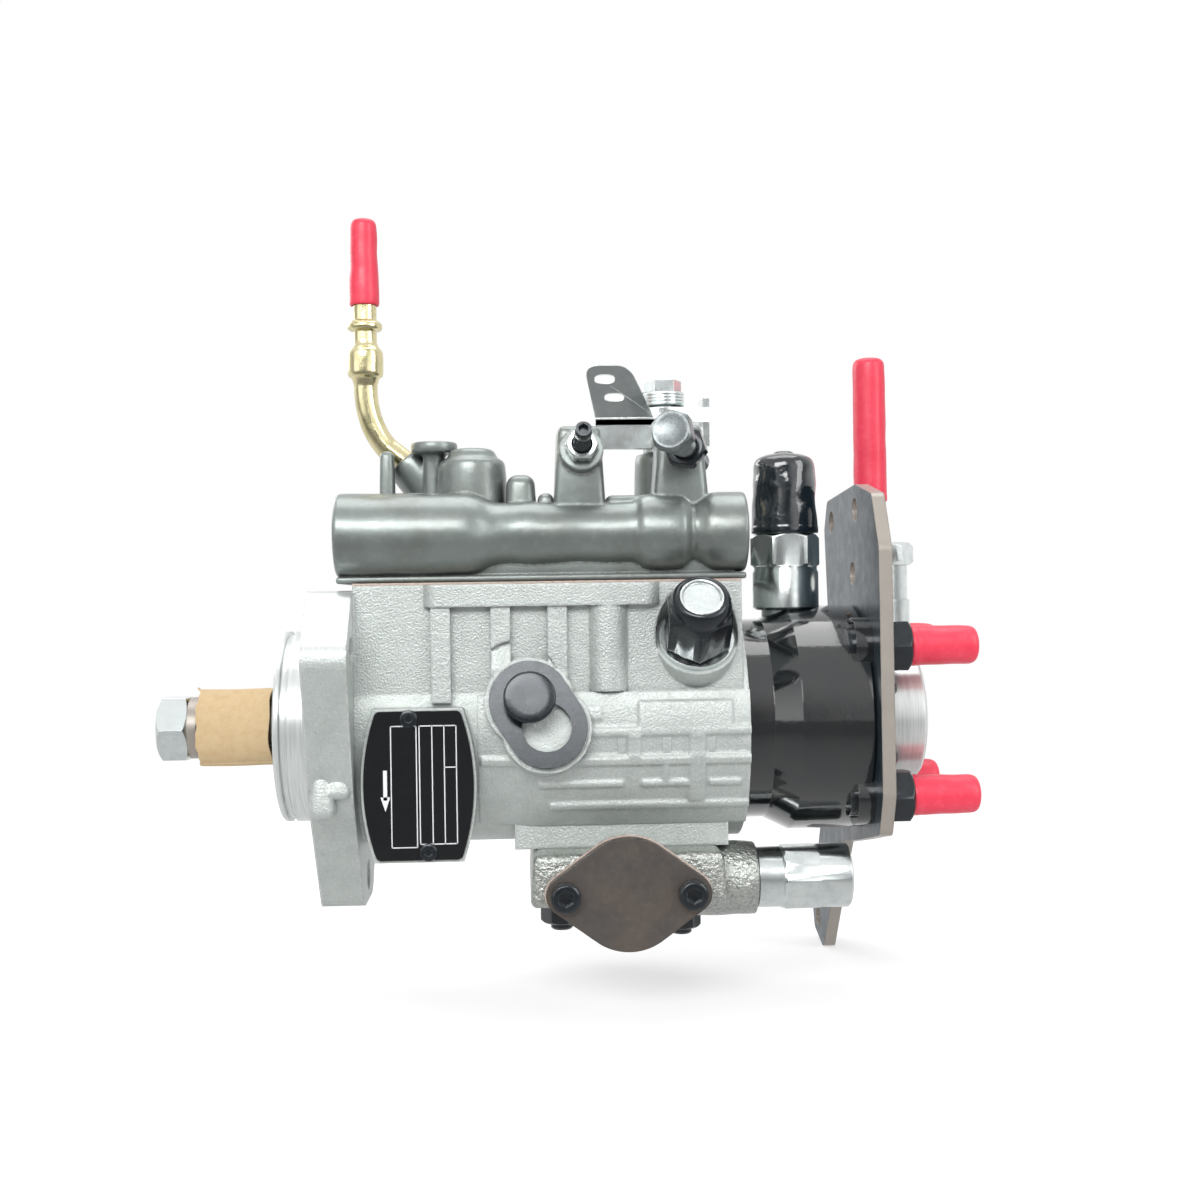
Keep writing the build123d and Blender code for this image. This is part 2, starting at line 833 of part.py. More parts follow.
# Governor cover: a cast shell with a scalloped tube along its front edge
tube_stations = (
    (cover_start, tube_radius - tube_chamfer),
    (cover_start + tube_chamfer, tube_radius),
    (56, tube_radius),
    (66, tube_waist_radius),
    (76, tube_waist_radius),
    (84, tube_belly_radius),
    (96, tube_belly_radius),
    (104, tube_waist_radius),
    (114, tube_waist_radius),
    (120, tube_belly_radius),
    (130, tube_waist_radius),
    (138, tube_belly_radius),
    (cover_end - tube_chamfer, tube_belly_radius),
    (cover_end, tube_belly_radius - tube_chamfer),
)
with BuildPart() as cover:
    slab(
        (cover_base_start, -cover_half_width, cover_floor),
        (cover_base_end, cover_half_width, cover_floor + cover_skirt),
    )
    fillet(edges().filter_by(Axis.Z), radius=cover_corner)
    with BuildSketch(Plane.XY.offset(cover_floor)) as hump:
        with Locations(((cover_hump_start + cover_hump_end) / 2, 0)):
            RectangleRounded(cover_hump_end - cover_hump_start, 2 * cover_hump_half, cover_corner)
    extrude(hump.sketch, amount=cover_hump_top - cover_floor)
    fillet(faces().sort_by(Axis.Z)[-1].edges(), radius=cover_corner * 2 / 3)
    turned(
        Plane(origin=(0, tube_y, tube_z), x_dir=(1, 0, 0), z_dir=(0, -1, 0)),
        tube_stations,
    )
    # The foot of the tube runs down to the joint.
    slab(
        (cover_start + tube_chamfer, tube_y - tube_waist_radius, cover_floor),
        (cover_end - tube_chamfer, tube_y, tube_z),
    )
    # Turret with a domed top
    rod(along_z(turret_x, turret_y, tube_z), turret_radius, turret_height - tube_z)
    turned(
        Plane(origin=(turret_x, turret_y, 0), x_dir=(0, 0, 1), z_dir=(0, 1, 0)),
        ((turret_height, turret_dome_radius + turret_dome / 2), (turret_height + turret_dome, turret_dome_radius)),
    )
    # Bosses of the two stop screws
    for boss_x, boss_width in ((idle_boss_x, idle_boss_width), (speed_boss_x, speed_boss_width)):
        with BuildSketch(Plane.XY.offset(tube_z)) as boss:
            with Locations((boss_x, (stop_boss_front + stop_boss_back) / 2)):
                RectangleRounded(boss_width, stop_boss_back - stop_boss_front, stop_boss_corner)
        extrude(boss.sketch, amount=stop_boss_top - tube_z)
    rod(idle_plane, idle_spot_radius, idle_spot_height)
    # Lugs at the driven end
    rod(along_z(lug_x, lug_y, cover_hump_top - cover_corner), lug_radius, lug_top - cover_hump_top + cover_corner)
    rod(along_z(lug_x, lug_y, lug_top - lug_flange_thickness), lug_flange_radius, lug_flange_thickness)
    slab(
        (front_lug_x - front_lug_width / 2, lug_y - front_lug_width / 2, cover_hump_top - cover_corner),
        (front_lug_x + front_lug_width / 2, lug_y + front_lug_width / 2, front_lug_top),
    )
    # Boss that carries the throttle shaft, and the port of the return pipe
    rod(along_z(throttle_x, throttle_y, cover_floor), throttle_boss_radius, throttle_boss_top - cover_floor)
    pipe_run = math.hypot(pipe_foot_x - pipe_x, pipe_elbow_z - pipe_foot_z)
    pipe_foot_axis = ((pipe_x - pipe_foot_x) / pipe_run, 0, (pipe_elbow_z - pipe_foot_z) / pipe_run)
    pipe_foot = Plane(origin=(pipe_foot_x, pipe_y, pipe_foot_z), z_dir=pipe_foot_axis)
    rod(pipe_foot.offset(-pipe_boss_length), pipe_boss_radius, 2 * pipe_boss_length)
    # Governor chamber inside, seats and screw holes
    slab(
        (chamber_start, -chamber_half_width, cover_floor - overrun),
        (chamber_end, chamber_half_width, chamber_roof),
        mode=Mode.SUBTRACT,
    )
    rod(along_z(throttle_x, throttle_y, throttle_shaft_foot), throttle_shaft_radius + running_gap,
        throttle_boss_top, mode=Mode.SUBTRACT)
    rod(port_plane, port_boss_radius, barrel_radius, mode=Mode.SUBTRACT)
    rod(pipe_foot.offset(pipe_boss_length - pipe_seat_depth), pipe_radius + seat_gap,
        pipe_seat_depth + overrun, mode=Mode.SUBTRACT)
    rod(idle_plane.offset(-idle_screw_in), idle_screw_radius + seat_gap,
        idle_screw_in + idle_spot_height + overrun, mode=Mode.SUBTRACT)
    rod(speed_plane.offset(-speed_screw_in), speed_screw_radius + seat_gap,
        speed_screw_in + overrun, mode=Mode.SUBTRACT)
    for place in cover_screw_places:
        rod(along_z(*place, cover_floor), cover_screw_radius + seat_gap,
            cover_hump_top, mode=Mode.SUBTRACT)
        rod(along_z(*place, cover_floor + cover_skirt), cover_screw_head_radius + open_gap,
            cover_hump_top, mode=Mode.SUBTRACT)
cover.part.label = "governor_cover"
export_step(cover.part, "parts/governor_cover.step")

with BuildPart() as cover_screws:
    for place in cover_screw_places:
        rod(along_z(*place, block_top - cover_screw_depth + wide_gap), cover_screw_radius,
            cover_screw_depth - wide_gap + joint_thickness + cover_skirt)
        rod(along_z(*place, cover_floor + cover_skirt), cover_screw_head_radius, cover_screw_head)
        hexagon(
            along_z(*place, cover_floor + cover_skirt + cover_screw_head - cover_screw_socket_depth),
            cover_screw_socket_flats, cover_screw_socket_depth + overrun, mode=Mode.SUBTRACT,
        )
cover_screws.part.label = "cover_screws"
export_step(cover_screws.part, "parts/cover_screws.step")

# Idle screw and maximum speed screw with their locknuts
with BuildPart() as idle_screw:
    rod(idle_plane.offset(-idle_screw_in), idle_screw_radius, idle_screw_in + idle_screw_out - idle_tip_length)
    rod(idle_plane.offset(idle_screw_out - idle_tip_length), idle_tip_radius, idle_tip_length)
idle_screw.part.label = "idle_screw"
export_step(idle_screw.part, "parts/idle_screw.step")

with BuildPart() as idle_locknut:
    hexagon(idle_plane.offset(idle_spot_height), idle_nut_flats, idle_nut_height)
    rod(idle_plane, idle_screw_radius + seat_gap, idle_spot_height + idle_nut_height + overrun,
        mode=Mode.SUBTRACT)
idle_locknut.part.label = "idle_locknut"
export_step(idle_locknut.part, "parts/idle_locknut.step")

with BuildPart() as speed_screw:
    rod(speed_plane.offset(-speed_screw_in), speed_screw_radius, speed_screw_in + speed_neck_length)
    hexagon(speed_plane.offset(speed_neck_length), speed_head_flats, speed_head_height)
speed_screw.part.label = "speed_screw"
export_step(speed_screw.part, "parts/speed_screw.step")

with BuildPart() as speed_locknut:
    hexagon(speed_plane.offset(speed_nut_lift), speed_nut_flats, speed_nut_height)
    rod(speed_plane, speed_screw_radius + seat_gap, speed_nut_lift + speed_nut_height + overrun,
        mode=Mode.SUBTRACT)
speed_locknut.part.label = "speed_locknut"
export_step(speed_locknut.part, "parts/speed_locknut.step")

# Throttle shaft, the lever, the spring plate, the coil and the nut
with BuildPart() as throttle_shaft:
    rod(along_z(throttle_x, throttle_y, throttle_shaft_foot), throttle_shaft_radius,
        throttle_shaft_top - throttle_shaft_foot)
    rod(along_z(throttle_x, throttle_y, throttle_boss_top + throttle_swing_gap), throttle_collar_radius,
        lever_level - throttle_boss_top - throttle_swing_gap)
throttle_shaft.part.label = "throttle_shaft"
export_step(throttle_shaft.part, "parts/throttle_shaft.step")

with BuildPart() as throttle_lever:
    # Flat arm from the hub to the foot of the upright tab
    with BuildSketch(Plane.XY.offset(lever_level)) as arm:
        with Locations((throttle_x, throttle_y)):
            Circle(lever_hub_radius)
        with Locations(((lever_tab_left + lever_tab_right) / 2, lever_tab_y + lever_sheet / 2)):
            Rectangle(lever_tab_right - lever_tab_left, lever_sheet)
        make_hull()
        with Locations((throttle_x, throttle_y)):
            Circle(throttle_shaft_radius + seat_gap, mode=Mode.SUBTRACT)
    extrude(arm.sketch, amount=lever_sheet)
    # Upright tab that leans back, with the cable hole and a smaller one
    with BuildSketch(facing_front(0, lever_tab_y + lever_sheet, 0)) as tab:
        with Locations((lever_tip_x, lever_tip_z)):
            Circle(lever_tip_radius)
        with Locations(((lever_tab_left + lever_tab_right) / 2, lever_level + lever_sheet / 2)):
            Rectangle(lever_tab_right - lever_tab_left, lever_sheet)
        make_hull()
        with Locations((lever_tip_x, lever_tip_z)):
            Circle(lever_hole_radius, mode=Mode.SUBTRACT)
        with Locations((lever_slot_x, lever_slot_z)):
            Circle(lever_slot_radius, mode=Mode.SUBTRACT)
    extrude(tab.sketch, amount=lever_sheet)
    # Stop web that hangs from the arm
    slab(
        (lever_tab_left, lever_tab_y, lever_web_foot),
        (lever_tab_right, lever_tab_y + lever_sheet, lever_level),
    )
throttle_lever.part.label = "throttle_lever"
export_step(throttle_lever.part, "parts/throttle_lever.step")

with BuildPart() as throttle_coil:
    ring(along_z(throttle_x, throttle_y, spring_plate_level + lever_sheet),
         lever_coil_radius, throttle_shaft_radius + seat_gap, lever_coil_height)
throttle_coil.part.label = "throttle_coil"
export_step(throttle_coil.part, "parts/throttle_coil.step")

with BuildPart() as spring_plate:
    with BuildSketch(Plane.XY.offset(lever_level + lever_sheet)) as stop_arm:
        with Locations((throttle_x, throttle_y)):
            Circle(lever_hub_radius)
        with Locations((throttle_x + spring_plate_reach - lever_sheet / 2, throttle_y)):
            Rectangle(lever_sheet, 2 * spring_tab_half)
        make_hull()
        with Locations((throttle_x, throttle_y)):
            Circle(throttle_shaft_radius + seat_gap, mode=Mode.SUBTRACT)
    extrude(stop_arm.sketch, amount=spring_plate_level + lever_sheet - lever_level - lever_sheet)
    slab(
        (throttle_x + spring_plate_reach - lever_sheet, throttle_y - spring_tab_half, spring_tab_foot),
        (throttle_x + spring_plate_reach, throttle_y + spring_tab_half, spring_tab_top),
    )
spring_plate.part.label = "spring_plate"
export_step(spring_plate.part, "parts/spring_plate.step")

with BuildPart() as lever_nut:
    hexagon(along_z(throttle_x, throttle_y, lever_coil_top), lever_nut_flats + overrun, lever_nut_height)
    rod(along_z(throttle_x, throttle_y, lever_coil_top), throttle_shaft_radius + seat_gap,
        lever_nut_height, mode=Mode.SUBTRACT)
lever_nut.part.label = "lever_nut"
export_step(lever_nut.part, "parts/lever_nut.step")

# Return pipe with its bead and collar, and the red cap over its mouth
with BuildPart() as return_pipe:
    with BuildLine() as pipe_line:
        FilletPolyline(
            (pipe_x, pipe_y, pipe_top),
            (pipe_x, pipe_y, pipe_elbow_z),
            tuple(pipe_foot.offset(pipe_boss_length - pipe_seat_depth).origin),
            radius=pipe_bend_radius,
        )
    with BuildSketch(Plane(origin=(pipe_x, pipe_y, pipe_top), z_dir=(0, 0, -1))):
        Circle(pipe_radius)
    sweep()
    rod(along_z(pipe_x, pipe_y, pipe_bead_z), pipe_bead_radius, pipe_bead_height)
    rod(along_z(pipe_x, pipe_y, pipe_collar_z), pipe_collar_radius, pipe_collar_height)
    rod(along_z(pipe_x, pipe_y, pipe_top), return_tip_radius, return_cap_top - pipe_top - overrun * 3)
return_pipe.part.label = "return_pipe"
export_step(return_pipe.part, "parts/return_pipe.step")

with BuildPart() as return_cap:
    rod(along_z(pipe_x, pipe_y, return_cap_foot), return_cap_radius, return_cap_step - return_cap_foot)
    rod(along_z(pipe_x, pipe_y, return_cap_step), return_cap_narrow, return_cap_top - return_cap_step)
    fillet(faces().sort_by(Axis.Z)[-1].edges(), radius=return_cap_wall * 2)
    rod(along_z(pipe_x, pipe_y, return_cap_foot), pipe_radius + cap_slide_gap,
        pipe_top + open_gap - return_cap_foot, mode=Mode.SUBTRACT)
    rod(along_z(pipe_x, pipe_y, return_cap_foot), return_tip_radius + cap_slide_gap,
        return_cap_top - overrun - return_cap_foot, mode=Mode.SUBTRACT)
return_cap.part.label = "return_cap"
export_step(return_cap.part, "parts/return_cap.step")

# Hydraulic head: a turned black body with a boss for each delivery union
with BuildPart() as head:
    turned(
        Plane.XZ,
        (
            (head_inner_start, bore_radius - seat_gap),
            (housing_end, bore_radius - seat_gap),
            (housing_end, head_neck_radius),
            (head_flare_start, head_neck_radius),
            (head_flare_end, head_radius),
            (head_end - head_chamfer, head_radius),
            (head_end, head_radius - head_chamfer),
        ),
    )
    for place in union_places:
        rod(along_x(head_end - union_boss_length, *place), union_boss_radius, union_boss_length)
    rod(along_x(head_inner_start - overrun), rotor_radius + running_gap, head_end - head_inner_start + 2 * overrun,
        mode=Mode.SUBTRACT)
    ring(
        along_x(head_inner_start + seal_ring_inset),
        bore_radius + overrun,
        bore_radius - seal_ring_depth,
        seal_ring_groove,
        mode=Mode.SUBTRACT,
    )
    for place in union_places:
        rod(along_x(head_end - union_shank_depth, *place), union_shank_radius + seat_gap,
            union_shank_depth + overrun, mode=Mode.SUBTRACT)
    for place in bracket_bolt_places:
        rod(along_x(head_end - bracket_bolt_depth, *place), bracket_bolt_radius + seat_gap,
            bracket_bolt_depth + overrun, mode=Mode.SUBTRACT)
    rod(along_z(solenoid_x, 0, solenoid_foot), solenoid_radius + open_gap, head_radius, mode=Mode.SUBTRACT)
    rod(along_z(solenoid_x, 0, solenoid_foot - solenoid_thread_depth), solenoid_thread_radius + seat_gap,
        solenoid_thread_depth + overrun, mode=Mode.SUBTRACT)
    rod(along_z(metering_x, metering_y, metering_foot), metering_radius + running_gap,
        bore_radius, mode=Mode.SUBTRACT)
    rod(along_z(metering_x, metering_y, metering_deck), metering_arm + wide_gap,
        bore_radius, mode=Mode.SUBTRACT)
    for side in (-1, 1):
        rod(radial_plane(head_pin_hole_x, side * 90, head_radius - head_pin_hole_depth),
            head_pin_hole_radius, head_pin_hole_depth + overrun, mode=Mode.SUBTRACT)
head.part.label = "hydraulic_head"
export_step(head.part, "parts/hydraulic_head.step")

with BuildPart() as head_seal:
    ring(along_x(head_inner_start + seal_ring_inset), bore_radius - seat_gap,
         bore_radius - seal_ring_depth, seal_ring_groove)
head_seal.part.label = "head_seal_ring"
export_step(head_seal.part, "parts/head_seal_ring.step")

# Delivery unions, screwed into the head through the bracket
with BuildPart() as unions:
    for place in union_places:
        rod(along_x(head_end - union_shank_depth, *place), union_shank_radius,
            union_shank_depth + bracket_thickness)
        hexagon(along_x(bracket_end, *place), union_hex_flats, union_hex_length)
        rod(along_x(bracket_end + union_hex_length, *place), union_nose_radius, union_nose_length)
        rod(along_x(bracket_end + union_hex_length + union_nose_length - union_bore_depth, *place),
            union_bore_radius, union_bore_depth + overrun, mode=Mode.SUBTRACT)
unions.part.label = "delivery_unions"
export_step(unions.part, "parts/delivery_unions.step")

cap_start = bracket_end + union_hex_length + open_gap
with BuildPart() as delivery_caps:
    for place in union_places:
        rod(along_x(cap_start, *place), delivery_cap_radius, delivery_cap_length)
    fillet(edges().group_by(Axis.X)[-1], radius=delivery_cap_end * 3 / 4)
    for place in union_places:
        rod(along_x(cap_start, *place), union_nose_radius + cap_slide_gap,
            delivery_cap_length - delivery_cap_end, mode=Mode.SUBTRACT)
delivery_caps.part.label = "delivery_caps"
export_step(delivery_caps.part, "parts/delivery_caps.step")

# Rear bracket: one steel plate cut to an outline with rounded corners
with BuildPart() as bracket:
    with BuildSketch(along_x(head_end)) as bracket_face:
        with BuildLine():
            Polyline(*bracket_outline, close=True)
        make_face()
        fillet(bracket_face.vertices(), radius=bracket_corner)
        Circle(bracket_centre_hole, mode=Mode.SUBTRACT)
        with Locations(*union_places):
            Circle(bracket_union_hole, mode=Mode.SUBTRACT)
        with Locations(*bracket_bolt_places):
            Circle(bracket_bolt_radius + open_gap, mode=Mode.SUBTRACT)
        with Locations(
            (bracket_slot_y, bracket_slot_z),
            (bracket_far_hole_y, bracket_far_hole_z),
            (bracket_low_hole_y, bracket_low_hole_z),
            (bracket_foot_hole_y, bracket_foot_hole_z),
        ):
            Circle(bracket_hole_radius, mode=Mode.SUBTRACT)
    extrude(amount=bracket_thickness)
bracket.part.label = "rear_bracket"
export_step(bracket.part, "parts/rear_bracket.step")

with BuildPart() as bracket_bolts:
    for place in bracket_bolt_places:
        rod(along_x(head_end - bracket_bolt_depth + wide_gap, *place), bracket_bolt_radius,
            bracket_bolt_depth - wide_gap + bracket_thickness)
        turned(
            Plane(origin=(0, *place), x_dir=(1, 0, 0), z_dir=(0, 1, 0)),
            (
                (bracket_end, bracket_bolt_head_radius),
                (bracket_end + bracket_bolt_head / 2, bracket_bolt_head_radius * 0.9),
                (bracket_end + bracket_bolt_head, bracket_bolt_head_radius / 2),
            ),
        )
bracket_bolts.part.label = "bracket_bolts"
export_step(bracket_bolts.part, "parts/bracket_bolts.step")

# End plate: it closes the transfer pump and holds the strainer on its arm
with BuildPart() as end_plate:
    rod(along_x(head_end), end_plate_radius, end_plate_end - head_end)
    chamfer(faces().sort_by(Axis.X)[-1].edges(), length=head_chamfer)
    # The arm ends in a saddle round the strainer.
    rod(
        facing_front(end_plate_end - inlet_arm_radius, inlet_y - inlet_radius / 2, inlet_arm_z),
        inlet_arm_radius,
        inlet_y - inlet_radius / 2,
    )
    rod(along_x(head_end), rotor_radius + running_gap, liner_start - head_end, mode=Mode.SUBTRACT)
    rod(along_x(liner_start), liner_bore, liner_length, mode=Mode.SUBTRACT)
    rod(along_z(inlet_x, inlet_y, -end_plate_radius), inlet_radius + seat_gap, 2 * end_plate_radius,
        mode=Mode.SUBTRACT)
end_plate.part.label = "end_plate"
export_step(end_plate.part, "parts/end_plate.step")

# Inlet strainer: an upright housing with a hexagon cap and a hose spigot
with BuildPart() as strainer:
    rod(along_z(inlet_x, inlet_y, inlet_foot), inlet_radius, inlet_neck_z - inlet_foot)
    rod(along_z(inlet_x, inlet_y, inlet_neck_z), inlet_neck_radius, inlet_hex_z - inlet_neck_z)
    chamfer(faces().sort_by(Axis.Z)[0].edges(), length=head_chamfer)
    rod(along_z(inlet_x, inlet_y, inlet_foot + inlet_neck_radius), inlet_bore_radius * 2,
        inlet_hex_z - inlet_foot - inlet_neck_radius, mode=Mode.SUBTRACT)
strainer.part.label = "inlet_strainer"
export_step(strainer.part, "parts/inlet_strainer.step")

with BuildPart() as inlet_union:
    hexagon(along_z(inlet_x, inlet_y, inlet_hex_z), inlet_hex_flats, inlet_hex_height)
    rod(along_z(inlet_x, inlet_y, inlet_hex_z + inlet_hex_height), inlet_spigot_radius,
        inlet_spigot_top - inlet_hex_z - inlet_hex_height)
    rod(along_z(inlet_x, inlet_y, inlet_hex_z), inlet_bore_radius,
        inlet_spigot_top - inlet_hex_z, mode=Mode.SUBTRACT)
inlet_union.part.label = "inlet_union"
export_step(inlet_union.part, "parts/inlet_union.step")

with BuildPart() as inlet_cap:
    rod(along_z(inlet_x, inlet_y, inlet_cap_foot), inlet_cap_radius, inlet_cap_top - inlet_cap_foot)
    fillet(faces().sort_by(Axis.Z)[-1].edges(), radius=inlet_cap_radius / 3)
    rod(along_z(inlet_x, inlet_y, inlet_cap_foot), inlet_spigot_radius + cap_slide_gap,
        inlet_cap_top - inlet_cap_foot - inlet_cap_radius / 2, mode=Mode.SUBTRACT)
inlet_cap.part.label = "inlet_cap"
export_step(inlet_cap.part, "parts/inlet_cap.step")

# Shut-off solenoid, its plunger and the vinyl boot
solenoid_hex_z = solenoid_foot + solenoid_body_height
solenoid_case_z = solenoid_hex_z + solenoid_hex_height
plunger_chamber_z = solenoid_foot - solenoid_thread_depth
with BuildPart() as solenoid:
    rod(along_z(solenoid_x, 0, plunger_chamber_z), solenoid_thread_radius, solenoid_thread_depth)
    rod(along_z(solenoid_x, 0, solenoid_foot), solenoid_radius, solenoid_body_height)
    hexagon(along_z(solenoid_x, 0, solenoid_hex_z), solenoid_hex_flats, solenoid_hex_height)
    rod(along_z(solenoid_x, 0, solenoid_case_z), solenoid_case_radius, solenoid_case_height)
    chamfer(faces().sort_by(Axis.Z)[-1].edges(), length=head_chamfer)
    rod(along_z(solenoid_x, 0, plunger_chamber_z), plunger_radius + running_gap,
        plunger_length + plunger_travel + wide_gap, mode=Mode.SUBTRACT)
solenoid.part.label = "shutoff_solenoid"
export_step(solenoid.part, "parts/shutoff_solenoid.step")

with BuildPart() as plunger:
    rod(along_z(solenoid_x, 0, plunger_chamber_z + wide_gap / 2), plunger_radius, plunger_length)
plunger.part.label = "solenoid_plunger"
export_step(plunger.part, "parts/solenoid_plunger.step")

with BuildPart() as boot:
    boot_z = solenoid_case_z + open_gap
    rod(along_z(solenoid_x, 0, boot_z), boot_radius, boot_height)
    fillet(faces().sort_by(Axis.Z)[-1].edges(), radius=boot_end)
    rod(along_z(solenoid_x, 0, boot_z + boot_height), boot_nipple_radius, boot_nipple_height)
    rod(along_z(solenoid_x, 0, boot_z), solenoid_case_radius + cap_slide_gap,
        boot_height - boot_end, mode=Mode.SUBTRACT)
boot.part.label = "solenoid_boot"
export_step(boot.part, "parts/solenoid_boot.step")

# Timing advance unit under the barrel
with BuildPart() as advance:
    slab(
        (advance_start, advance_front + advance_skirt_depth, advance_floor),
        (advance_end, advance_back, foot_level),
    )
    fillet(edges().filter_by(Axis.Z), radius=advance_corner)
    # The skirt that carries the cover follows its outline.
    with BuildSketch(facing_front(advance_x, advance_front, advance_z)) as skirt:
        Circle(advance_cover_radius)
        with Locations((-advance_ear_reach, 0), (advance_ear_reach, 0)):
            Circle(advance_ear_radius)
        make_hull()
    extrude(skirt.sketch, amount=advance_skirt_depth, dir=(0, 1, 0))
    rod(along_x(advance_end - advance_corner, advance_nose_y, advance_z), advance_nose_radius,
        advance_nose_end - advance_end + advance_corner)
    rod(along_z(centre_bolt_x, centre_bolt_y, advance_floor - centre_bolt_boss),
        centre_bolt_boss_radius, centre_bolt_boss + overrun)
    # Piston bore, slot of the pin, screw and stud holes, union seat
    rod(facing_front(advance_x, advance_back + overrun, advance_z), advance_bore_radius,
        advance_back - advance_front + 2 * overrun, mode=Mode.SUBTRACT)
    slab(
        (advance_x - slot_half_width, -slot_half_length, advance_z),
        (advance_x + slot_half_width, slot_half_length, foot_level + overrun),
        mode=Mode.SUBTRACT,
    )
    for side in (-1, 1):
        rod(facing_front(advance_x + side * advance_ear_reach, advance_front + advance_screw_depth, advance_z),
            advance_screw_radius + seat_gap, advance_screw_depth + overrun, mode=Mode.SUBTRACT)
    for place in stud_positions:
        rod(along_z(*place, advance_floor - overrun), stud_radius + open_gap,
            foot_level - advance_floor + 2 * overrun, mode=Mode.SUBTRACT)
    rod(along_x(advance_nose_end - advance_union_step, advance_nose_y, advance_z),
        advance_union_step + seat_gap - wide_gap * 2, advance_union_step + overrun, mode=Mode.SUBTRACT)
advance.part.label = "advance_housing"
export_step(advance.part, "parts/advance_housing.step")

with BuildPart() as advance_cover_joint:
    with BuildSketch(facing_front(advance_x, advance_front, advance_z)):
        Circle(advance_cover_radius)
        with Locations((-advance_ear_reach, 0), (advance_ear_reach, 0)):
            Circle(advance_ear_radius)
        make_hull()
        Circle(advance_bore_radius, mode=Mode.SUBTRACT)
        with Locations((-advance_ear_reach, 0), (advance_ear_reach, 0)):
            Circle(advance_screw_radius + open_gap, mode=Mode.SUBTRACT)
    extrude(amount=advance_joint)
advance_cover_joint.part.label = "advance_cover_joint"
export_step(advance_cover_joint.part, "parts/advance_cover_joint.step")

with BuildPart() as advance_cover:
    with BuildSketch(facing_front(advance_x, advance_front - advance_joint, advance_z)):
        Circle(advance_cover_radius - wide_gap / 2)
        with Locations((-advance_ear_reach, 0), (advance_ear_reach, 0)):
            Circle(advance_ear_radius - wide_gap / 2)
        make_hull()
        with Locations((-advance_ear_reach, 0), (advance_ear_reach, 0)):
            Circle(advance_screw_radius + open_gap, mode=Mode.SUBTRACT)
    extrude(amount=advance_cover_thickness)
advance_cover.part.label = "advance_cover"
export_step(advance_cover.part, "parts/advance_cover.step")

with BuildPart() as advance_screws:
    for side in (-1, 1):
        screw_plane = facing_front(advance_x + side * advance_ear_reach, advance_cover_face, advance_z)
        rod(screw_plane.offset(wide_gap - advance_cover_thickness - advance_joint - advance_screw_depth),
            advance_screw_radius,
            advance_cover_thickness + advance_joint + advance_screw_depth - wide_gap)
        rod(screw_plane, advance_screw_head_radius, advance_screw_head)
        hexagon(screw_plane.offset(advance_screw_head - advance_socket_depth), advance_socket_flats,
                advance_socket_depth + overrun, mode=Mode.SUBTRACT)
advance_screws.part.label = "advance_cover_screws"
export_step(advance_screws.part, "parts/advance_cover_screws.step")

with BuildPart() as piston:
    rod(facing_front(advance_x, piston_front + piston_length, advance_z),
        advance_bore_radius - running_gap, piston_length)
    rod(facing_front(advance_x, piston_front + piston_length + overrun, advance_z),
        advance_spring_radius + advance_spring_wire, piston_spring_depth + overrun, mode=Mode.SUBTRACT)
    rod(along_z(advance_x, 0, -pin_ball_depth - pin_ball_radius - wide_gap),
        pin_ball_radius + running_gap, advance_bore_radius * 2, mode=Mode.SUBTRACT)
piston.part.label = "advance_piston"
export_step(piston.part, "parts/advance_piston.step")

# The spring is shown as its turns, between the piston and the plug.
spring_seat_y = piston_front + piston_length - piston_spring_depth
spring_end_y = advance_back - plug_depth
with BuildPart() as advance_spring:
    coil_ring(
        Plane(origin=(advance_x, spring_seat_y + piston_travel + wide_gap, advance_z), z_dir=(0, 1, 0)),
        advance_spring_radius - wide_gap,
        advance_spring_wire,
        advance_spring_turns,
        spring_end_y - spring_seat_y - piston_travel - wide_gap - open_gap,
    )
advance_spring.part.label = "advance_spring"
export_step(advance_spring.part, "parts/advance_spring.step")

with BuildPart() as advance_plug:
    rod(Plane(origin=(advance_x, spring_end_y, advance_z), z_dir=(0, 1, 0)),
        advance_bore_radius - seat_gap, plug_depth)
    hexagon(Plane(origin=(advance_x, advance_back, advance_z), x_dir=(1, 0, 0), z_dir=(0, 1, 0)),
            plug_flats + 2 * overrun, plug_length)
advance_plug.part.label = "advance_plug"
export_step(advance_plug.part, "parts/advance_plug.step")

with BuildPart() as advance_union:
    union_start = advance_nose_end
    rod(along_x(union_start - advance_union_step, advance_nose_y, advance_z),
        advance_union_step - 2 * wide_gap, advance_union_step)
    rod(along_x(union_start, advance_nose_y, advance_z), union_x_radius, advance_union_length)
    chamfer(faces().sort_by(Axis.X)[-1].edges(), length=head_chamfer)
    hexagon(along_x(union_start + advance_union_hex_start, advance_nose_y, advance_z),
            advance_union_flats, advance_union_hex_length, turn=30)
advance_union.part.label = "advance_union"
export_step(advance_union.part, "parts/advance_union.step")

with BuildPart() as advance_studs:
    for place in stud_positions:
        rod(along_z(*place, advance_floor - stud_nut_height), stud_radius,
            foot_face - advance_floor + stud_nut_height)
        hexagon(along_z(*place, advance_floor - stud_nut_height), stud_nut_flats, stud_nut_height)
    hexagon(
        along_z(centre_bolt_x, centre_bolt_y, advance_floor - centre_bolt_boss - centre_bolt_head),
        centre_bolt_flats, centre_bolt_head,
    )
advance_studs.part.label = "advance_nuts"
export_step(advance_studs.part, "parts/advance_nuts.step")

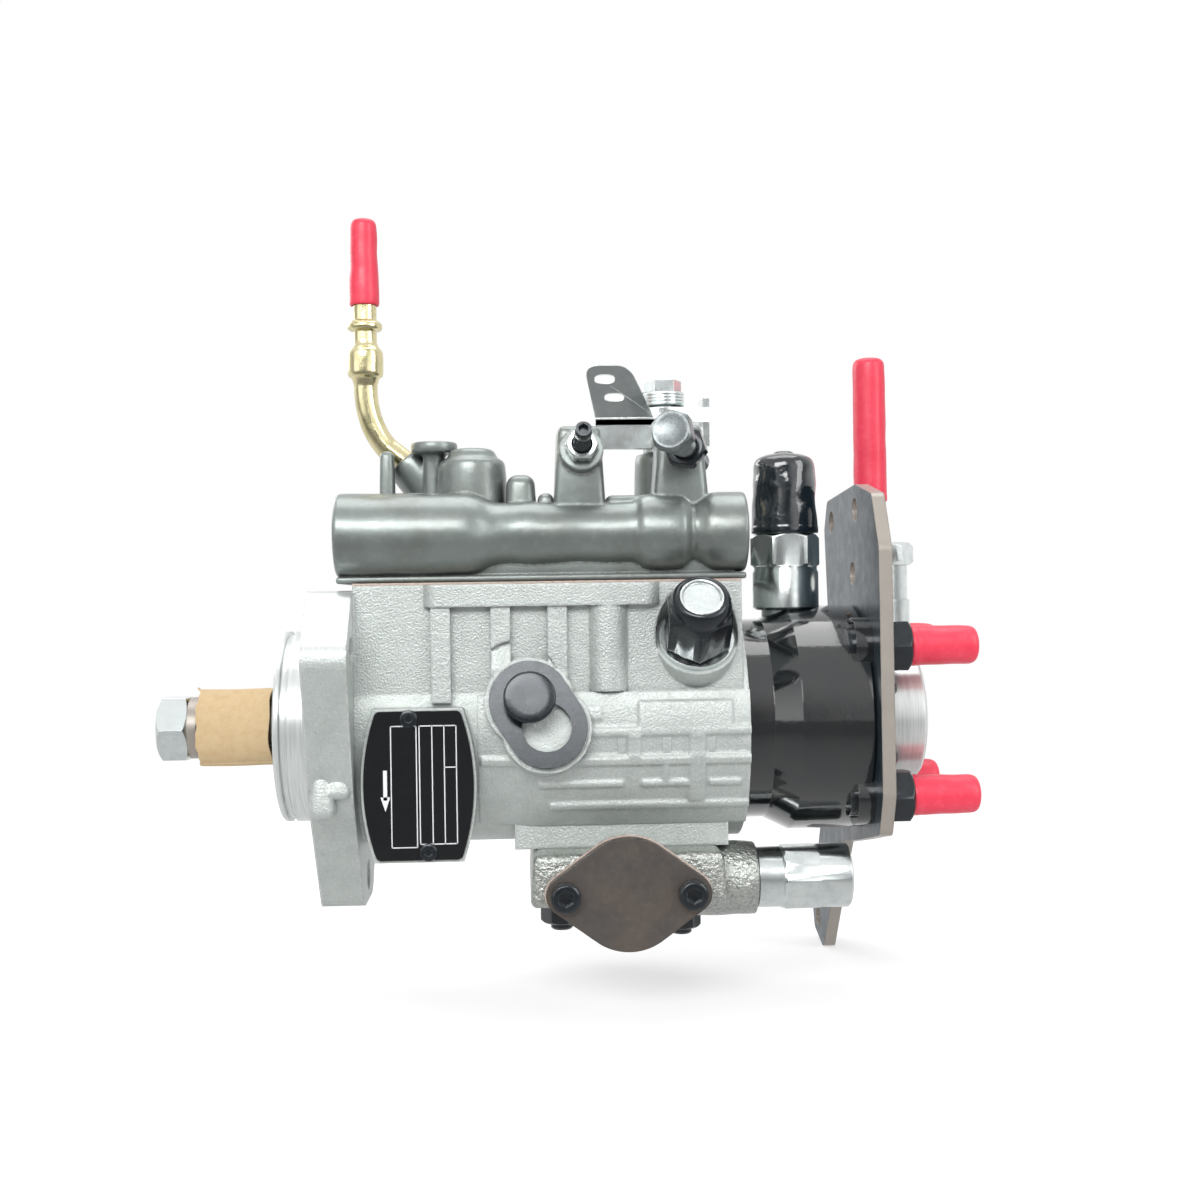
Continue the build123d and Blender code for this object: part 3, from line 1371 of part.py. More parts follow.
# Drive shaft, from the driven end to the weight carrier
with BuildPart() as drive_shaft:
    turned(
        Plane.XZ,
        (
            (shaft_start, thread_radius),
            (sleeve_start - washer_length, thread_radius),
            (sleeve_start, thread_radius),
            (sleeve_start + wide_gap, shaft_neck_radius),
            (-spigot_length - wide_gap, shaft_radius),
            (shaft_end, shaft_radius),
        ),
    )
drive_shaft.part.label = "drive_shaft"
export_step(drive_shaft.part, "parts/drive_shaft.step")

with BuildPart() as drive_nut:
    hexagon(along_x(nut_start), nut_flats, nut_length)
    with BuildPart(mode=Mode.PRIVATE) as nut_round:
        turned(
            Plane.XZ,
            (
                (nut_start, nut_flats / 2),
                (nut_start + wide_gap * 3 / 2, nut_flats / math.sqrt(3)),
                (nut_start + nut_length - wide_gap, nut_flats / math.sqrt(3)),
                (nut_start + nut_length, nut_flats / 2),
            ),
        )
    add(nut_round.part, mode=Mode.INTERSECT)
    rod(along_x(nut_start), thread_radius + seat_gap, nut_length, mode=Mode.SUBTRACT)
drive_nut.part.label = "drive_nut"
export_step(drive_nut.part, "parts/drive_nut.step")

with BuildPart() as spring_washer:
    ring(along_x(nut_start + nut_length), washer_radius, thread_radius + seat_gap, washer_length)
spring_washer.part.label = "spring_washer"
export_step(spring_washer.part, "parts/spring_washer.step")

with BuildPart() as paper_sleeve:
    ring(along_x(sleeve_start), sleeve_radius, shaft_radius + seat_gap, sleeve_length)
paper_sleeve.part.label = "paper_sleeve"
export_step(paper_sleeve.part, "parts/paper_sleeve.step")

with BuildPart() as shaft_seal:
    ring(along_x(-spigot_length), seal_radius - seat_gap, shaft_radius + running_gap, seal_length)
shaft_seal.part.label = "shaft_seal"
export_step(shaft_seal.part, "parts/shaft_seal.step")

with BuildPart() as shaft_bush:
    ring(along_x(seal_length - spigot_length + wide_gap), bush_radius - seat_gap,
         shaft_radius + running_gap, bush_length)
shaft_bush.part.label = "shaft_bush"
export_step(shaft_bush.part, "parts/shaft_bush.step")

# Governor: weight carrier, flyweights, thrust sleeve, arm and main spring
with BuildPart() as carrier:
    ring(along_x(carrier_start), carrier_radius, shaft_radius + seat_gap, carrier_plate)
    ring(along_x(carrier_start), carrier_radius, carrier_radius - carrier_plate / 2, carrier_length)
carrier.part.label = "weight_carrier"
export_step(carrier.part, "parts/weight_carrier.step")

with BuildPart() as weights:
    with BuildSketch(along_x(carrier_start + carrier_plate)):
        with PolarLocations((weight_inner + weight_outer) / 2, weight_count):
            RectangleRounded(weight_outer - weight_inner, 2 * weight_half_width, weight_inner / 10)
    extrude(amount=weight_length)
weights.part.label = "flyweights"
export_step(weights.part, "parts/flyweights.step")

with BuildPart() as thrust_sleeve:
    ring(along_x(thrust_start), thrust_radius, shaft_radius + running_gap, thrust_length)
thrust_sleeve.part.label = "thrust_sleeve"
export_step(thrust_sleeve.part, "parts/thrust_sleeve.step")

with BuildPart() as governor_arm:
    with BuildSketch(along_x(arm_start)) as fork:
        Circle(thrust_radius + wide_gap)
        Circle(arm_fork_radius, mode=Mode.SUBTRACT)
        with Locations((0, -thrust_radius)):
            Rectangle(3 * thrust_radius, 2 * thrust_radius, mode=Mode.SUBTRACT)
        with Locations((0, (arm_top + arm_fork_radius) / 2 + wide_gap)):
            Rectangle(2 * arm_half_width, arm_top - arm_fork_radius)
    extrude(fork.sketch, amount=arm_thickness)
    rod(facing_front(arm_pivot_x, arm_pivot_radius * 3 / 2 + arm_half_width, arm_pivot_z),
        arm_pivot_radius + wide_gap, 2 * arm_half_width + arm_pivot_radius * 3)
    rod(facing_front(arm_pivot_x, arm_pivot_half, arm_pivot_z), arm_pivot_radius + running_gap,
        2 * arm_pivot_half, mode=Mode.SUBTRACT)
governor_arm.part.label = "governor_arm"
export_step(governor_arm.part, "parts/governor_arm.step")

with BuildPart() as arm_pin:
    rod(facing_front(arm_pivot_x, chamber_half_width, arm_pivot_z), arm_pivot_radius, 2 * chamber_half_width)
arm_pin.part.label = "arm_pivot_pin"
export_step(arm_pin.part, "parts/arm_pivot_pin.step")

with BuildPart() as main_spring:
    coil_ring(
        along_x(arm_start + arm_thickness + open_gap, throttle_y, main_spring_z),
        main_spring_radius,
        main_spring_wire,
        main_spring_turns,
        throttle_x - throttle_shaft_radius - arm_start - arm_thickness - 2 * open_gap,
    )
main_spring.part.label = "governor_spring"
export_step(main_spring.part, "parts/governor_spring.step")

# Pumping parts: cam ring with its lever pin, shoes and rollers, plungers, rotor
with BuildPart() as cam_ring:
    with BuildSketch(along_x(cam_start)) as cam_face:
        Circle(cam_outer)
        Circle(cam_inner, mode=Mode.SUBTRACT)
        # Four inward lobes lift the rollers
        with PolarLocations(cam_inner, len(union_angles)):
            Circle(cam_lobe_depth, mode=Mode.ADD)
    extrude(cam_face.sketch, amount=cam_length)
    rod(along_z(advance_x, 0, -pin_ball_depth), pin_neck_radius, pin_ball_depth - (cam_inner + cam_outer) / 2)
    with Locations((advance_x, 0, -pin_ball_depth)):
        Sphere(pin_ball_radius)
cam_ring.part.label = "cam_ring"
export_step(cam_ring.part, "parts/cam_ring.step")

with BuildPart() as rollers:
    for place in circle_points(shoe_outer - roller_radius, union_angles):
        rod(along_x(cam_start + wide_gap, *place), roller_radius, cam_length - 2 * wide_gap)
rollers.part.label = "cam_rollers"
export_step(rollers.part, "parts/cam_rollers.step")

with BuildPart() as rotor:
    turned(
        Plane.XZ,
        (
            (shaft_end, rotor_radius + wide_gap),
            (cam_start, rotor_radius + wide_gap),
            (cam_start, rotor_head_radius),
            (cam_start + cam_length, rotor_head_radius),
            (cam_start + cam_length, rotor_radius),
            (liner_start + liner_length - wide_gap, rotor_radius),
        ),
    )
    for place in circle_points(shoe_outer - roller_radius, union_angles):
        rod(along_x(cam_start, *place), roller_radius + running_gap, cam_length, mode=Mode.SUBTRACT)
    slab(
        (liner_start + wide_gap, -overrun * rotor_radius, -blade_thickness / 2),
        (liner_start + liner_length, overrun * rotor_radius, blade_thickness / 2),
        mode=Mode.SUBTRACT,
    )
rotor.part.label = "distributor_rotor"
export_step(rotor.part, "parts/distributor_rotor.step")

with BuildPart() as blades:
    for side in (-1, 1):
        slab(
            (liner_start + wide_gap, side * blade_thickness / 2, seat_gap - blade_thickness / 2),
            (liner_start + liner_length - wide_gap, side * blade_reach, blade_thickness / 2 - seat_gap),
        )
blades.part.label = "transfer_blades"
export_step(blades.part, "parts/transfer_blades.step")

# Metering valve with its arm, upright in the head
with BuildPart() as metering_valve:
    rod(along_z(metering_x, metering_y, metering_foot + wide_gap), metering_radius,
        metering_top - metering_foot - wide_gap)
    slab(
        (metering_x - metering_arm, metering_y - metering_arm_width / 2, metering_top - metering_arm_height),
        (metering_x, metering_y + metering_arm_width / 2, metering_top),
    )
metering_valve.part.label = "metering_valve"
export_step(metering_valve.part, "parts/metering_valve.step")
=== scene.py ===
import json
import math

import bmesh
import bpy
import numpy as np
from mathutils import Matrix, Vector
from mathutils.geometry import tessellate_polygon

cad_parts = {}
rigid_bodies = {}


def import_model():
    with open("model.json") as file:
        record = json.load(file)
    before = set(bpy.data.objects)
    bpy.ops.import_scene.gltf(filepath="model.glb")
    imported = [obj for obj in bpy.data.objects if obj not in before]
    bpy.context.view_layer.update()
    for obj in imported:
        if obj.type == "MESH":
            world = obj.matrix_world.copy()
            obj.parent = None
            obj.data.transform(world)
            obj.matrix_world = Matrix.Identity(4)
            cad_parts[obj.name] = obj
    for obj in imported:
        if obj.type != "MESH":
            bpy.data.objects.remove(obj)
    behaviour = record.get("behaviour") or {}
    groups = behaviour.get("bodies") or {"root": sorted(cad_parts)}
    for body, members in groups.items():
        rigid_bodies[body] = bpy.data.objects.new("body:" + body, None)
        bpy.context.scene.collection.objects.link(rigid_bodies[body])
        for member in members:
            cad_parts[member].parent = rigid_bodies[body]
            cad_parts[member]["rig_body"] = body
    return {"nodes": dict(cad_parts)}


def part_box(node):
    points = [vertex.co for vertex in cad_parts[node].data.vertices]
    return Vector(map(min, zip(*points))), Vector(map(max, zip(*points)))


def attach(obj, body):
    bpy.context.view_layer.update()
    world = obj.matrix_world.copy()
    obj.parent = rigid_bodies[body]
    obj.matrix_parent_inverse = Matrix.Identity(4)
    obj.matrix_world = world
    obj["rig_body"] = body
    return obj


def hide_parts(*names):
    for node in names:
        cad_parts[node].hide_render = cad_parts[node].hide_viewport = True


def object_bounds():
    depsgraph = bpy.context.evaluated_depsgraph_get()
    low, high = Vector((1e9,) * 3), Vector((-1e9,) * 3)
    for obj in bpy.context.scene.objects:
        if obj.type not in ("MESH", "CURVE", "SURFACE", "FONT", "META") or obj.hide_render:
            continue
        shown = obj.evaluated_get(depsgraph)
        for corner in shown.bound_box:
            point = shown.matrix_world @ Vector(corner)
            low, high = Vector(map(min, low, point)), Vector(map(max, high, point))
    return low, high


# The looks of a rotary diesel injection pump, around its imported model. Blender works in
# metres here; sizes are written in millimetres and turned by MM.

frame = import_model()
cad_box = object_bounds()
scene = bpy.context.scene
MM = 0.001
TURN = 2 * math.pi

# Surfaces


def surface(name, grids, crease=34, plates=()):
    """One mesh through one or more grids of points in millimetres, rows by columns.

    Each grid is joined row to row and column to column; a grid whose last column repeats
    its first is a tube, and a row whose points are all one point is a pole. Points that
    fall together are merged, which closes the seams and poles; edges that turn by more
    than crease degrees stay sharp."""
    mesh = bpy.data.meshes.new(name)
    points, faces, start = [], [], 0
    for grid in grids:
        rows, columns = grid.shape[:2]
        row, column = np.meshgrid(np.arange(rows - 1), np.arange(columns - 1), indexing="ij")
        corner = start + row * columns + column
        quad = np.stack([corner, corner + 1, corner + columns + 1, corner + columns], -1)
        points.append(grid.reshape(-1, 3) * MM)
        faces.append(quad.reshape(-1, 4))
        start += rows * columns
    flat = [corners for part in faces for corners in part.tolist()]
    for spots, triangles in plates:
        points.append(spots * MM)
        flat += [[start + corner for corner in triangle] for triangle in triangles]
        start += len(spots)
    mesh.from_pydata(np.concatenate(points).tolist(), [], flat)
    shell = bmesh.new()
    shell.from_mesh(mesh)
    bmesh.ops.remove_doubles(shell, verts=shell.verts, dist=1e-6)
    bmesh.ops.dissolve_degenerate(shell, edges=shell.edges, dist=1e-7)
    bmesh.ops.recalc_face_normals(shell, faces=shell.faces)
    for edge in shell.edges:
        edge.smooth = edge.calc_face_angle(0) < math.radians(crease)
    shell.to_mesh(mesh)
    shell.free()
    mesh.polygons.foreach_set("use_smooth", np.ones(len(mesh.polygons), bool))
    piece = bpy.data.objects.new(name, mesh)
    scene.collection.objects.link(piece)
    return piece


def dress(piece, body, slot, nodes=(), finish=None):
    """Gives a piece its body and its finish, the one of its slot unless a finish is given, and hides
    the nodes it stands for.
    """
    piece.data.materials.append(finish or finishes[slot])
    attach(piece, body)
    if nodes:
        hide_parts(*nodes)
    return piece


def axes(along):
    """Two unit directions square to a direction, and the direction itself, as columns."""
    along = np.asarray(along, float) / np.linalg.norm(along)
    side = np.cross(along, (0, 0, 1) if abs(along[2]) < 0.9 else (1, 0, 0))
    side /= np.linalg.norm(side)
    return np.stack([side, np.cross(along, side), along])


def soft_profile(stations, steps=4):
    """A chain of (height, radius) stations with its corners cut by a repeated averaging:
    each pass puts two points at a quarter and three quarters of every run, and the two
    ends stay."""
    line = np.asarray(stations, float)
    for _ in range(steps):
        early = 0.75 * line[:-1] + 0.25 * line[1:]
        late = 0.25 * line[:-1] + 0.75 * line[1:]
        middle = np.stack([early, late], 1).reshape(-1, 2)
        line = np.concatenate([line[:1], middle, line[-1:]])
    return line


def turned(centre, along, profile, columns=72, swell=None, turn=0.0):
    """A surface of revolution: the radius of the (height, radius) stations turns about a
    line through centre, and swell(height, angle) in millimetres is added to it. A third
    value in a station is half the width across flats of a hexagon that limits the radius,
    as that value over the cosine of the angle from the nearest flat's middle."""
    across = axes(along)
    stations = [(*row, 0.0) if len(row) == 2 else tuple(row) for row in np.asarray(profile, object)]
    rows = np.array(stations, float)
    runs = [rows[:1]]
    for first, last in zip(rows[:-1], rows[1:]):
        parts = 7 if first[2] and last[2] and first[1] != last[1] else 1
        share = np.linspace(0, 1, parts + 1)[1:, None]
        runs.append(first + share * (last - first))
    rows = np.concatenate(runs)
    angle = np.linspace(0, TURN, columns + 1)
    height, radius = rows[:, :1], np.repeat(rows[:, 1:2], columns + 1, 1)
    if swell is not None:
        radius = radius + swell(height, angle[None, :]) * (radius > 1e-6)
    lean = np.mod(angle - math.radians(turn) + TURN / 12, TURN / 6) - TURN / 12
    radius = np.where(rows[:, 2:] > 0, np.minimum(radius, rows[:, 2:] / np.cos(lean)), radius)
    return (
        np.asarray(centre, float)
        + (radius * np.cos(angle))[..., None] * across[0]
        + (radius * np.sin(angle))[..., None] * across[1]
        + np.broadcast_to(height, radius.shape)[..., None] * across[2]
    )


def thread(centre, along, start, end, radius, pitch, depth, columns=48):
    """A screw thread: radius less depth times the folded share of a turn, which runs from
    0 on the crest to 1 in the root, taken at height / pitch - angle / one turn. The crest
    is flattened, and both ends are closed."""
    across = axes(along)
    rows = max(int((end - start) / pitch * 10), 8)
    height = np.linspace(start, end, rows + 1)[:, None]
    angle = np.linspace(0, TURN, columns + 1)[None, :]
    share = np.mod(height / pitch - angle / TURN, 1.0)
    fold = np.clip(1.15 * np.abs(2 * share - 1) - 0.1, 0, 1)
    body = radius - depth * fold
    body = np.concatenate([body[:1] * 0, body, body[-1:] * 0])
    height = np.concatenate([height[:1], height, height[-1:]])
    return (
        np.asarray(centre, float)
        + (body * np.cos(angle))[..., None] * across[0]
        + (body * np.sin(angle))[..., None] * across[1]
        + np.broadcast_to(height, body.shape)[..., None] * across[2]
    )


def oval(x, y, width, height=None, parts=40, power=2.0):
    """A closed curve about x, y: both axes go as a power of cosine and sine, so that 2 is
    an ellipse and more squares its corners."""
    angle = np.linspace(0, TURN, parts, endpoint=False)
    bend = 2 / power
    across, up = np.cos(angle), np.sin(angle)
    return np.stack([
        x + width / 2 * np.sign(across) * np.abs(across) ** bend,
        y + (height or width) / 2 * np.sign(up) * np.abs(up) ** bend], 1)


def eased(corners, reach, parts=6):
    """A closed outline with each corner cut back by its reach and joined by the curve
    (1 - t)^2 from + 2 t (1 - t) corner + t^2 to."""
    corners = np.asarray(corners, float)
    reach = np.broadcast_to(np.asarray(reach, float), len(corners))
    share = np.linspace(0, 1, parts + 1)[:, None]
    runs = []
    for index, corner in enumerate(corners):
        before = corners[index - 1] - corner
        after = corners[(index + 1) % len(corners)] - corner
        early = corner + before / np.linalg.norm(before) * reach[index]
        late = corner + after / np.linalg.norm(after) * reach[index]
        runs.append((1 - share) ** 2 * early + 2 * share * (1 - share) * corner
                    + share ** 2 * late)
    return np.concatenate(runs)


def plate(outline, holes, low, high, place):
    """A sheet: an outline with holes, filled by triangles at the levels low and high and
    joined by walls; place(u, v, w) sets its points from the outline's two axes and the
    level."""
    loops = [np.asarray(loop, float) for loop in (outline, *holes)]
    filled = tessellate_polygon([[Vector((*spot, 0)) for spot in loop] for loop in loops])
    spots = np.concatenate(loops)
    count = len(spots)
    faces = [list(corners) for corners in filled]
    faces += [[corner + count for corner in corners] for corners in filled]
    start = 0
    for loop in loops:
        size = len(loop)
        for corner in range(size):
            one, two = start + corner, start + (corner + 1) % size
            faces.append([one, two, two + count, one + count])
        start += size
    levels = np.repeat([low, high], count)
    return place(np.tile(spots[:, 0], 2), np.tile(spots[:, 1], 2), levels), faces


def block(low, high, radius, draft=(0.0, 0.0), parts=5):
    """A rounded block: centre + (half - radius) * sign + radius * direction, with the
    direction swept over each eighth of a ball; draft narrows it in X and Y towards its
    top, in millimetres a side."""
    low, high = np.asarray(low, float), np.asarray(high, float)
    centre, half = (low + high) / 2, (high - low) / 2
    quarter = np.linspace(0, TURN / 4, parts + 1)
    turn = np.concatenate([quarter + TURN / 4 * index for index in range(4)])
    sides = np.repeat([(1, 1), (-1, 1), (-1, -1), (1, -1)], parts + 1, 0)
    rise = np.concatenate([quarter - TURN / 4, quarter])
    ends = np.repeat([-1, 1], parts + 1)
    way = np.stack([
        np.cos(rise)[:, None] * np.cos(turn), np.cos(rise)[:, None] * np.sin(turn),
        np.repeat(np.sin(rise)[:, None], len(turn), 1)], -1)
    sign = np.stack([
        np.repeat(sides[None, :, 0], len(rise), 0), np.repeat(sides[None, :, 1], len(rise), 0),
        np.repeat(ends[:, None], len(turn), 1)], -1)
    grid = (half - radius) * sign + radius * way
    share = (grid[..., 2:] / half[2] + 1) / 2
    grid[..., :2] -= sign[..., :2] * share * np.asarray(draft)
    grid = np.concatenate([grid[:1] * (0, 0, 1), grid, grid[-1:] * (0, 0, 1)])
    grid = np.concatenate([grid, grid[:, :1]], 1)
    return centre + grid


def tube(line, radius, columns=14):
    """A round tube along a line of points: each ring lies across the line's direction,
    from a frame that is turned as little as the line allows, and both ends are closed."""
    line = np.asarray(line, float)
    ahead = np.gradient(line, axis=0)
    ahead /= np.linalg.norm(ahead, axis=1)[:, None]
    side = np.cross(ahead, (0.013, 0.021, 1.0))
    side /= np.linalg.norm(side, axis=1)[:, None]
    up = np.cross(ahead, side)
    angle = np.linspace(0, TURN, columns + 1)[None, :, None]
    ring = radius * (np.cos(angle) * side[:, None] + np.sin(angle) * up[:, None])
    body = line[:, None] + ring
    start = np.repeat(line[:1, None], columns + 1, 1)
    end = np.repeat(line[-1:, None], columns + 1, 1)
    return np.concatenate([start, body, end])


# Finishes


def linear(code):
    """An sRGB hex value as a linear colour with full opacity."""
    parts = np.array([int(code[i:i + 2], 16) for i in (0, 2, 4)]) / 255
    low = parts / 12.92
    high = ((parts + 0.055) / 1.055) ** 2.4
    return (*np.where(parts <= 0.04045, low, high).tolist(), 1.0)


def node(tree, kind, sockets=(), **settings):
    """Adds a node: settings go on the node, sockets on its inputs as values or links."""
    made = tree.nodes.new(kind)
    for name, value in settings.items():
        setattr(made, name, value)
    for name, value in dict(sockets).items():
        if isinstance(value, bpy.types.NodeSocket):
            tree.links.new(value, made.inputs[name])
        else:
            made.inputs[name].default_value = value
    return made


def finish_tree(name):
    """A material with an empty tree, its output and its object coordinates."""
    material = bpy.data.materials.new(name)
    material.use_nodes = True
    tree = material.node_tree
    tree.nodes.clear()
    end = node(tree, "ShaderNodeOutputMaterial")
    place = node(tree, "ShaderNodeTexCoord").outputs["Object"]
    return material, tree, end, place


def grain(tree, place, size, detail=3.0, stretch=(1, 1, 1), rough=0.55):
    """Noise whose features are about size millimetres across."""
    scale = [1 / (MM * size * s) for s in stretch]
    moved = node(tree, "ShaderNodeVectorMath", {0: place, 1: scale}, operation="MULTIPLY")
    noise = node(tree, "ShaderNodeTexNoise", {
        "Vector": moved.outputs[0], "Scale": 1.0, "Detail": detail, "Roughness": rough})
    return noise.outputs["Fac"]


def ramp(tree, value, low, high, to_low=0.0, to_high=1.0):
    """A value mapped from low..high to to_low..to_high, and held there."""
    made = node(tree, "ShaderNodeMapRange", {
        "Value": value, "From Min": low, "From Max": high,
        "To Min": to_low, "To Max": to_high})
    return made.outputs["Result"]


def blend(tree, share, first, second):
    """A colour between two, each given as a hex value or as a link."""
    made = node(tree, "ShaderNodeMix", {"Factor": share}, data_type="RGBA")
    for index, colour in ((6, first), (7, second)):
        if isinstance(colour, str):
            made.inputs[index].default_value = linear(colour)
        else:
            tree.links.new(colour, made.inputs[index])
    return made.outputs[2]


def edge_mask(tree, reach, strength=6.0):
    """Near 1 on edges: how far the rounded normal leans from the flat one."""
    soft = node(tree, "ShaderNodeBevel", {"Radius": reach * MM}, samples=4)
    flat = node(tree, "ShaderNodeNewGeometry")
    lean = node(tree, "ShaderNodeVectorMath",
                {0: soft.outputs[0], 1: flat.outputs["Normal"]}, operation="DOT_PRODUCT")
    return ramp(tree, lean.outputs["Value"], 1.0, 1.0 - 1.0 / strength), soft.outputs[0]


def finished(name, colour, rough, metal=0.0, coat=0.0, coat_rough=0.05, edge=None,
             edge_reach=0.5, layers=(), bumps=(), spread=0.08, specular=0.5,
             under=0.0, hollow_shade=None, cut=None, milled=None):
    """One finish: a base colour, layers of (hex, size, low, high, share) noise over it,
    an edge colour, a colour of painted shade for recesses, bumps of (size, height in millimetres,
    stretch), a colour for cut rims as (hex, axis), and milled faces as (hex, rough, boxes)."""
    material, tree, end, place = finish_tree(name)
    mask, normal = edge_mask(tree, edge_reach)
    shade = blend(tree, 0.0, colour, colour)
    for code, size, low, high, share in layers:
        patch = ramp(tree, grain(tree, place, size), low, high, 0.0, share)
        shade = blend(tree, patch, shade, code)
    if edge:
        worn = node(tree, "ShaderNodeMath", {
            0: mask, 1: ramp(tree, grain(tree, place, 1.6), 0.3, 0.65)},
            operation="MULTIPLY").outputs[0]
        shade = blend(tree, worn, shade, edge)
    if cut:
        facing = node(tree, "ShaderNodeSeparateXYZ", {
            0: node(tree, "ShaderNodeNewGeometry").outputs["True Normal"]}).outputs[cut[1]]
        level = node(tree, "ShaderNodeMath", {0: facing}, operation="ABSOLUTE").outputs[0]
        shade = blend(tree, ramp(tree, level, 0.5, 0.3), shade, cut[0])
    # Painted shade: where ambient occlusion finds a recess, the colour darkens toward this shade
    # colour
    if hollow_shade:
        open_share = node(tree, "ShaderNodeAmbientOcclusion", {"Distance": 3.0 * MM},
                          samples=6).outputs["AO"]
        shade = blend(tree, ramp(tree, open_share, 0.75, 0.3, 0.0, 0.6), shade, hollow_shade)
    height_share = 1.0
    gloss = ramp(tree, grain(tree, place, 5.0), 0.25, 0.75,
                 max(rough - spread, 0.02), min(rough + spread, 1.0))
    if milled:
        code, smooth, boxes = milled
        inside = inside_boxes(tree, place, boxes)
        lines = ramp(tree, grain(tree, place, 0.35, 2.0, (0.6, 40, 40)), 0.3, 0.7)
        tool = blend(tree, lines, code, "c4c9c8")
        shade = blend(tree, inside, shade, tool)
        gloss = node(tree, "ShaderNodeMix", {0: inside, 2: gloss, 3: smooth}).outputs[0]
        height_share = ramp(tree, inside, 0, 1, 1.0, 0.04)
    for size, height, stretch in bumps:
        lift = node(tree, "ShaderNodeBump", {
            "Height": grain(tree, place, size, 2.0, stretch), "Normal": normal,
            "Strength": height_share, "Distance": height * MM})
        normal = lift.outputs[0]
    shader = node(tree, "ShaderNodeBsdfPrincipled", {
        "Base Color": shade, "Roughness": gloss, "Normal": normal, "Metallic": metal,
        "Coat Weight": coat, "Coat Roughness": coat_rough,
        "Specular IOR Level": specular, "Subsurface Weight": under})
    if under:
        shader.inputs["Subsurface Radius"].default_value = (1.0, 0.25, 0.2)
        shader.inputs["Subsurface Scale"].default_value = 1.2 * MM
    tree.links.new(shader.outputs[0], end.inputs[0])
    return material


def inside_boxes(tree, place, boxes):
    """1 inside any of the boxes, given by two corners in millimetres, and 0 outside."""
    split = node(tree, "ShaderNodeSeparateXYZ", {0: place})
    total = None
    for low, high in boxes:
        share = None
        for axis in range(3):
            for bound, way in ((low[axis], 1), (high[axis], -1)):
                side = ramp(tree, split.outputs[axis],
                            (bound - way * 0.1) * MM, (bound + way * 0.1) * MM)
                share = side if share is None else node(
                    tree, "ShaderNodeMath", {0: share, 1: side}, operation="MULTIPLY").outputs[0]
        total = share if total is None else node(
            tree, "ShaderNodeMath", {0: total, 1: share}, operation="MAXIMUM").outputs[0]
    return total


ROUND = (1, 1, 1)

